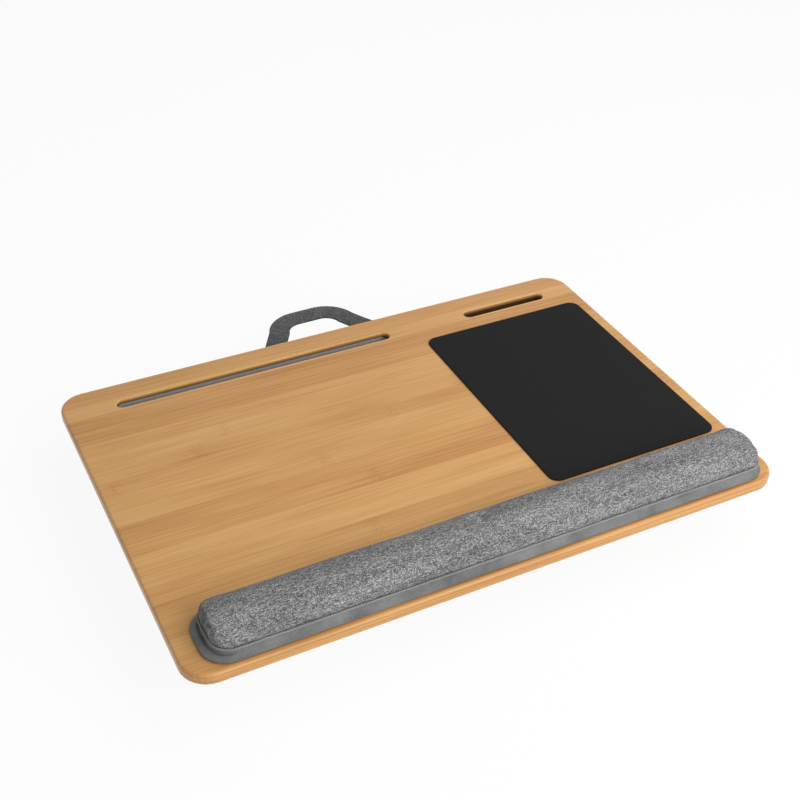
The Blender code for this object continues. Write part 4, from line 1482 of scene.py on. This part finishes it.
@dataclass(frozen=True)
class CarryHandle(SubAssembly):
    """Webbing handle whose two legs run on under the board as sewn tabs."""

    hinge_y: float = 159 * MM
    hinge_z: float = 49.1 * MM
    spacing: float = 110 * MM
    width: float = 21 * MM
    thickness: float = 2.9 * MM
    reach: float = 58 * MM
    taper: float = 17 * MM
    bend_radius: float = 26 * MM
    tab_start: float = 131.2 * MM
    stitch_row: float = 8.2 * MM
    section_power: float = 2 / 5.0
    groove_depth: float = 0.35 * MM
    groove_width: float = 0.7 * MM
    end_length: float = 1.2 * MM
    end_share: float = 0.55
    wave: float = 0.35 * MM
    wave_fade: float = 12 * MM
    bend_before: float = 3.5 * MM
    bend_after: float = 4.5 * MM
    lean_before: float = 1 * MM
    stitch_sink: float = 0.42 * MM

    def build(self) -> None:
        """Strap carried along its centreline with a lens-shaped section and folded edges.

        The section is a circle pulled towards a square, with a groove under each row of stitches,
        and it thins towards the strap's ends. The loop waves softly up and down.
        """
        line = self.centreline()
        walked = walk(line)
        tangent = unit(np.gradient(line, axis=0))
        outward = np.column_stack([-tangent[:, 1], tangent[:, 0], 0 * tangent[:, 0]])
        wide, high = squared_circle(np.linspace(0, FULL_TURN, 37), self.section_power)
        wide, high = wide * self.width / 2, high * self.thickness / 2
        groove = self.groove_depth * np.exp(-(((np.abs(wide) - self.stitch_row) / self.groove_width) ** 2))
        high = high - np.sign(high) * groove
        end = np.clip(np.minimum(walked, walked[-1] - walked) / self.end_length, 0.0, 1.0)
        thin = self.end_share + (1 - self.end_share) * np.sqrt(end)
        points = line[:, None] + outward[:, None] * wide[None, :, None]
        points[..., 2] += high[None] * thin[:, None]
        free = np.clip((line[:, 1] - self.hinge_y) / self.wave_fade, 0, 1)
        waves = soft_noise(line, wavelength=45 * MM, seed=61) * self.wave * free
        points[..., 2] += waves[:, None]
        points = capped(points)
        strap = mesh_from_grids("carry_handle_strap", [(points, cloth_lengths(points))])
        bend_ends = (self.hinge_y - self.bend_before, self.hinge_y + self.bend_after)
        bend = tuple((0, y, self.hinge_z) for y in bend_ends)
        stands_for = ("handle_strap", "handle_tab_left", "handle_tab_right")
        finish_piece(strap, self.finishes.webbing, stands_for, bend=bend)
        grids = []
        for face in (-1, 1):
            for row in (-1, 1):
                path = line + outward * row * self.stitch_row
                path[:, 2] += waves + face * (self.thickness / 2 - self.stitch_sink)
                path = path[2:-2]
                normal = np.tile([0.0, 0.0, float(face)], (len(path), 1))
                grids += stitch_grids(path, normal, length=2.4 * MM, pitch=3.4 * MM, radius=0.35 * MM)
        stitches = mesh_from_grids("carry_handle_stitches", grids)
        finish_piece(stitches, self.finishes.thread, bend=bend)

    def centreline(self) -> np.ndarray:
        """Middle line of the strap in plan, from the left tab round the loop to the right tab.

        Each leg runs straight, leans in, and an arc joins it to the straight back stretch.

        Returns:
            Even points of shape (points, 3).
        """
        centre_y = self.hinge_y + self.reach - self.width / 2 - self.bend_radius
        centre_x = self.spacing / 2 - self.taper - self.bend_radius
        turn = np.linspace(math.atan2(self.taper, self.reach), QUARTER_TURN, 24)[:, None]
        arc = (centre_x, centre_y) + self.bend_radius * np.hstack([np.cos(turn), np.sin(turn)])
        leg = [(self.spacing / 2, self.tab_start), (self.spacing / 2, self.hinge_y - self.lean_before)]
        half = np.vstack([leg, arc])
        whole = np.vstack([half * np.array([-1, 1]), half[::-1]])
        walked = walk(whole)
        return at_level(points_at(np.linspace(0, walked[-1], 181), walked, whole), self.hinge_z)


@dataclass(frozen=True)
class Zip(SubAssembly):
    """Zip under the panel: woven tapes, and metal pieces whose solids stay."""

    metal: tuple[str, ...] = ("teeth_left", "teeth_right", "stop_front", "stop_back", "slider", "pull")
    rib_pitch: float = 9 * MM
    rib_share: float = 0.12

    def build(self) -> None:
        """Build the tapes and dress the metal."""
        for side in Side:
            self.build_tape(side)
        for word in self.metal:
            dress(self.nodes["zipper_" + word], self.finishes.zinc)

    def build_tape(self, side: Side) -> None:
        """Woven tape: a thin slab with a thicker folded edge beside the teeth.

        Args:
            side: which tape.
        """
        node = "zipper_tape_" + side.word
        low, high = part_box(node)
        size = high - low
        across = np.array([0.0, 0.02, 0.08, 0.16, 0.22, 0.3, 0.6, 0.92, 0.98, 1.0])
        full = np.array([0.3, 0.8, 1.0, 1.0, 0.7, 0.62, 0.6, 0.62, 0.5, 0.25])
        inner = high.x if side is Side.LEFT else low.x
        y = np.linspace(low.y, high.y, 66)[:, None]
        ripple = 1 - self.rib_share * np.sin(FULL_TURN * y / self.rib_pitch) ** 2
        x, y = np.broadcast_arrays(inner + side.value * across * size.x, y)
        upper = np.dstack([x, y, np.full(x.shape, high.z)])
        lower = np.dstack([x, y, high.z - size.z * full * ripple])
        points = capped(np.concatenate([upper, lower[:, ::-1], upper[:, :1]], axis=1))
        tape = mesh_from_grids(node + "_cloth", [(points, cloth_lengths(points))])
        finish_piece(tape, self.finishes.zip_tape, (node,))


def main() -> None:
    """Build the studio and every piece of the desk, in order."""
    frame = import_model()
    Studio().build()
    finishes = Finishes()
    for part in (BambooBoard, MousePad, WristRest, LapCushion, Fixings, CarryHandle, Zip):
        log.info("building %s", part.__name__)
        part(frame["nodes"], finishes).build()


if __name__ == "__main__":
    logging.basicConfig(level=logging.INFO, format="%(message)s")
    main()
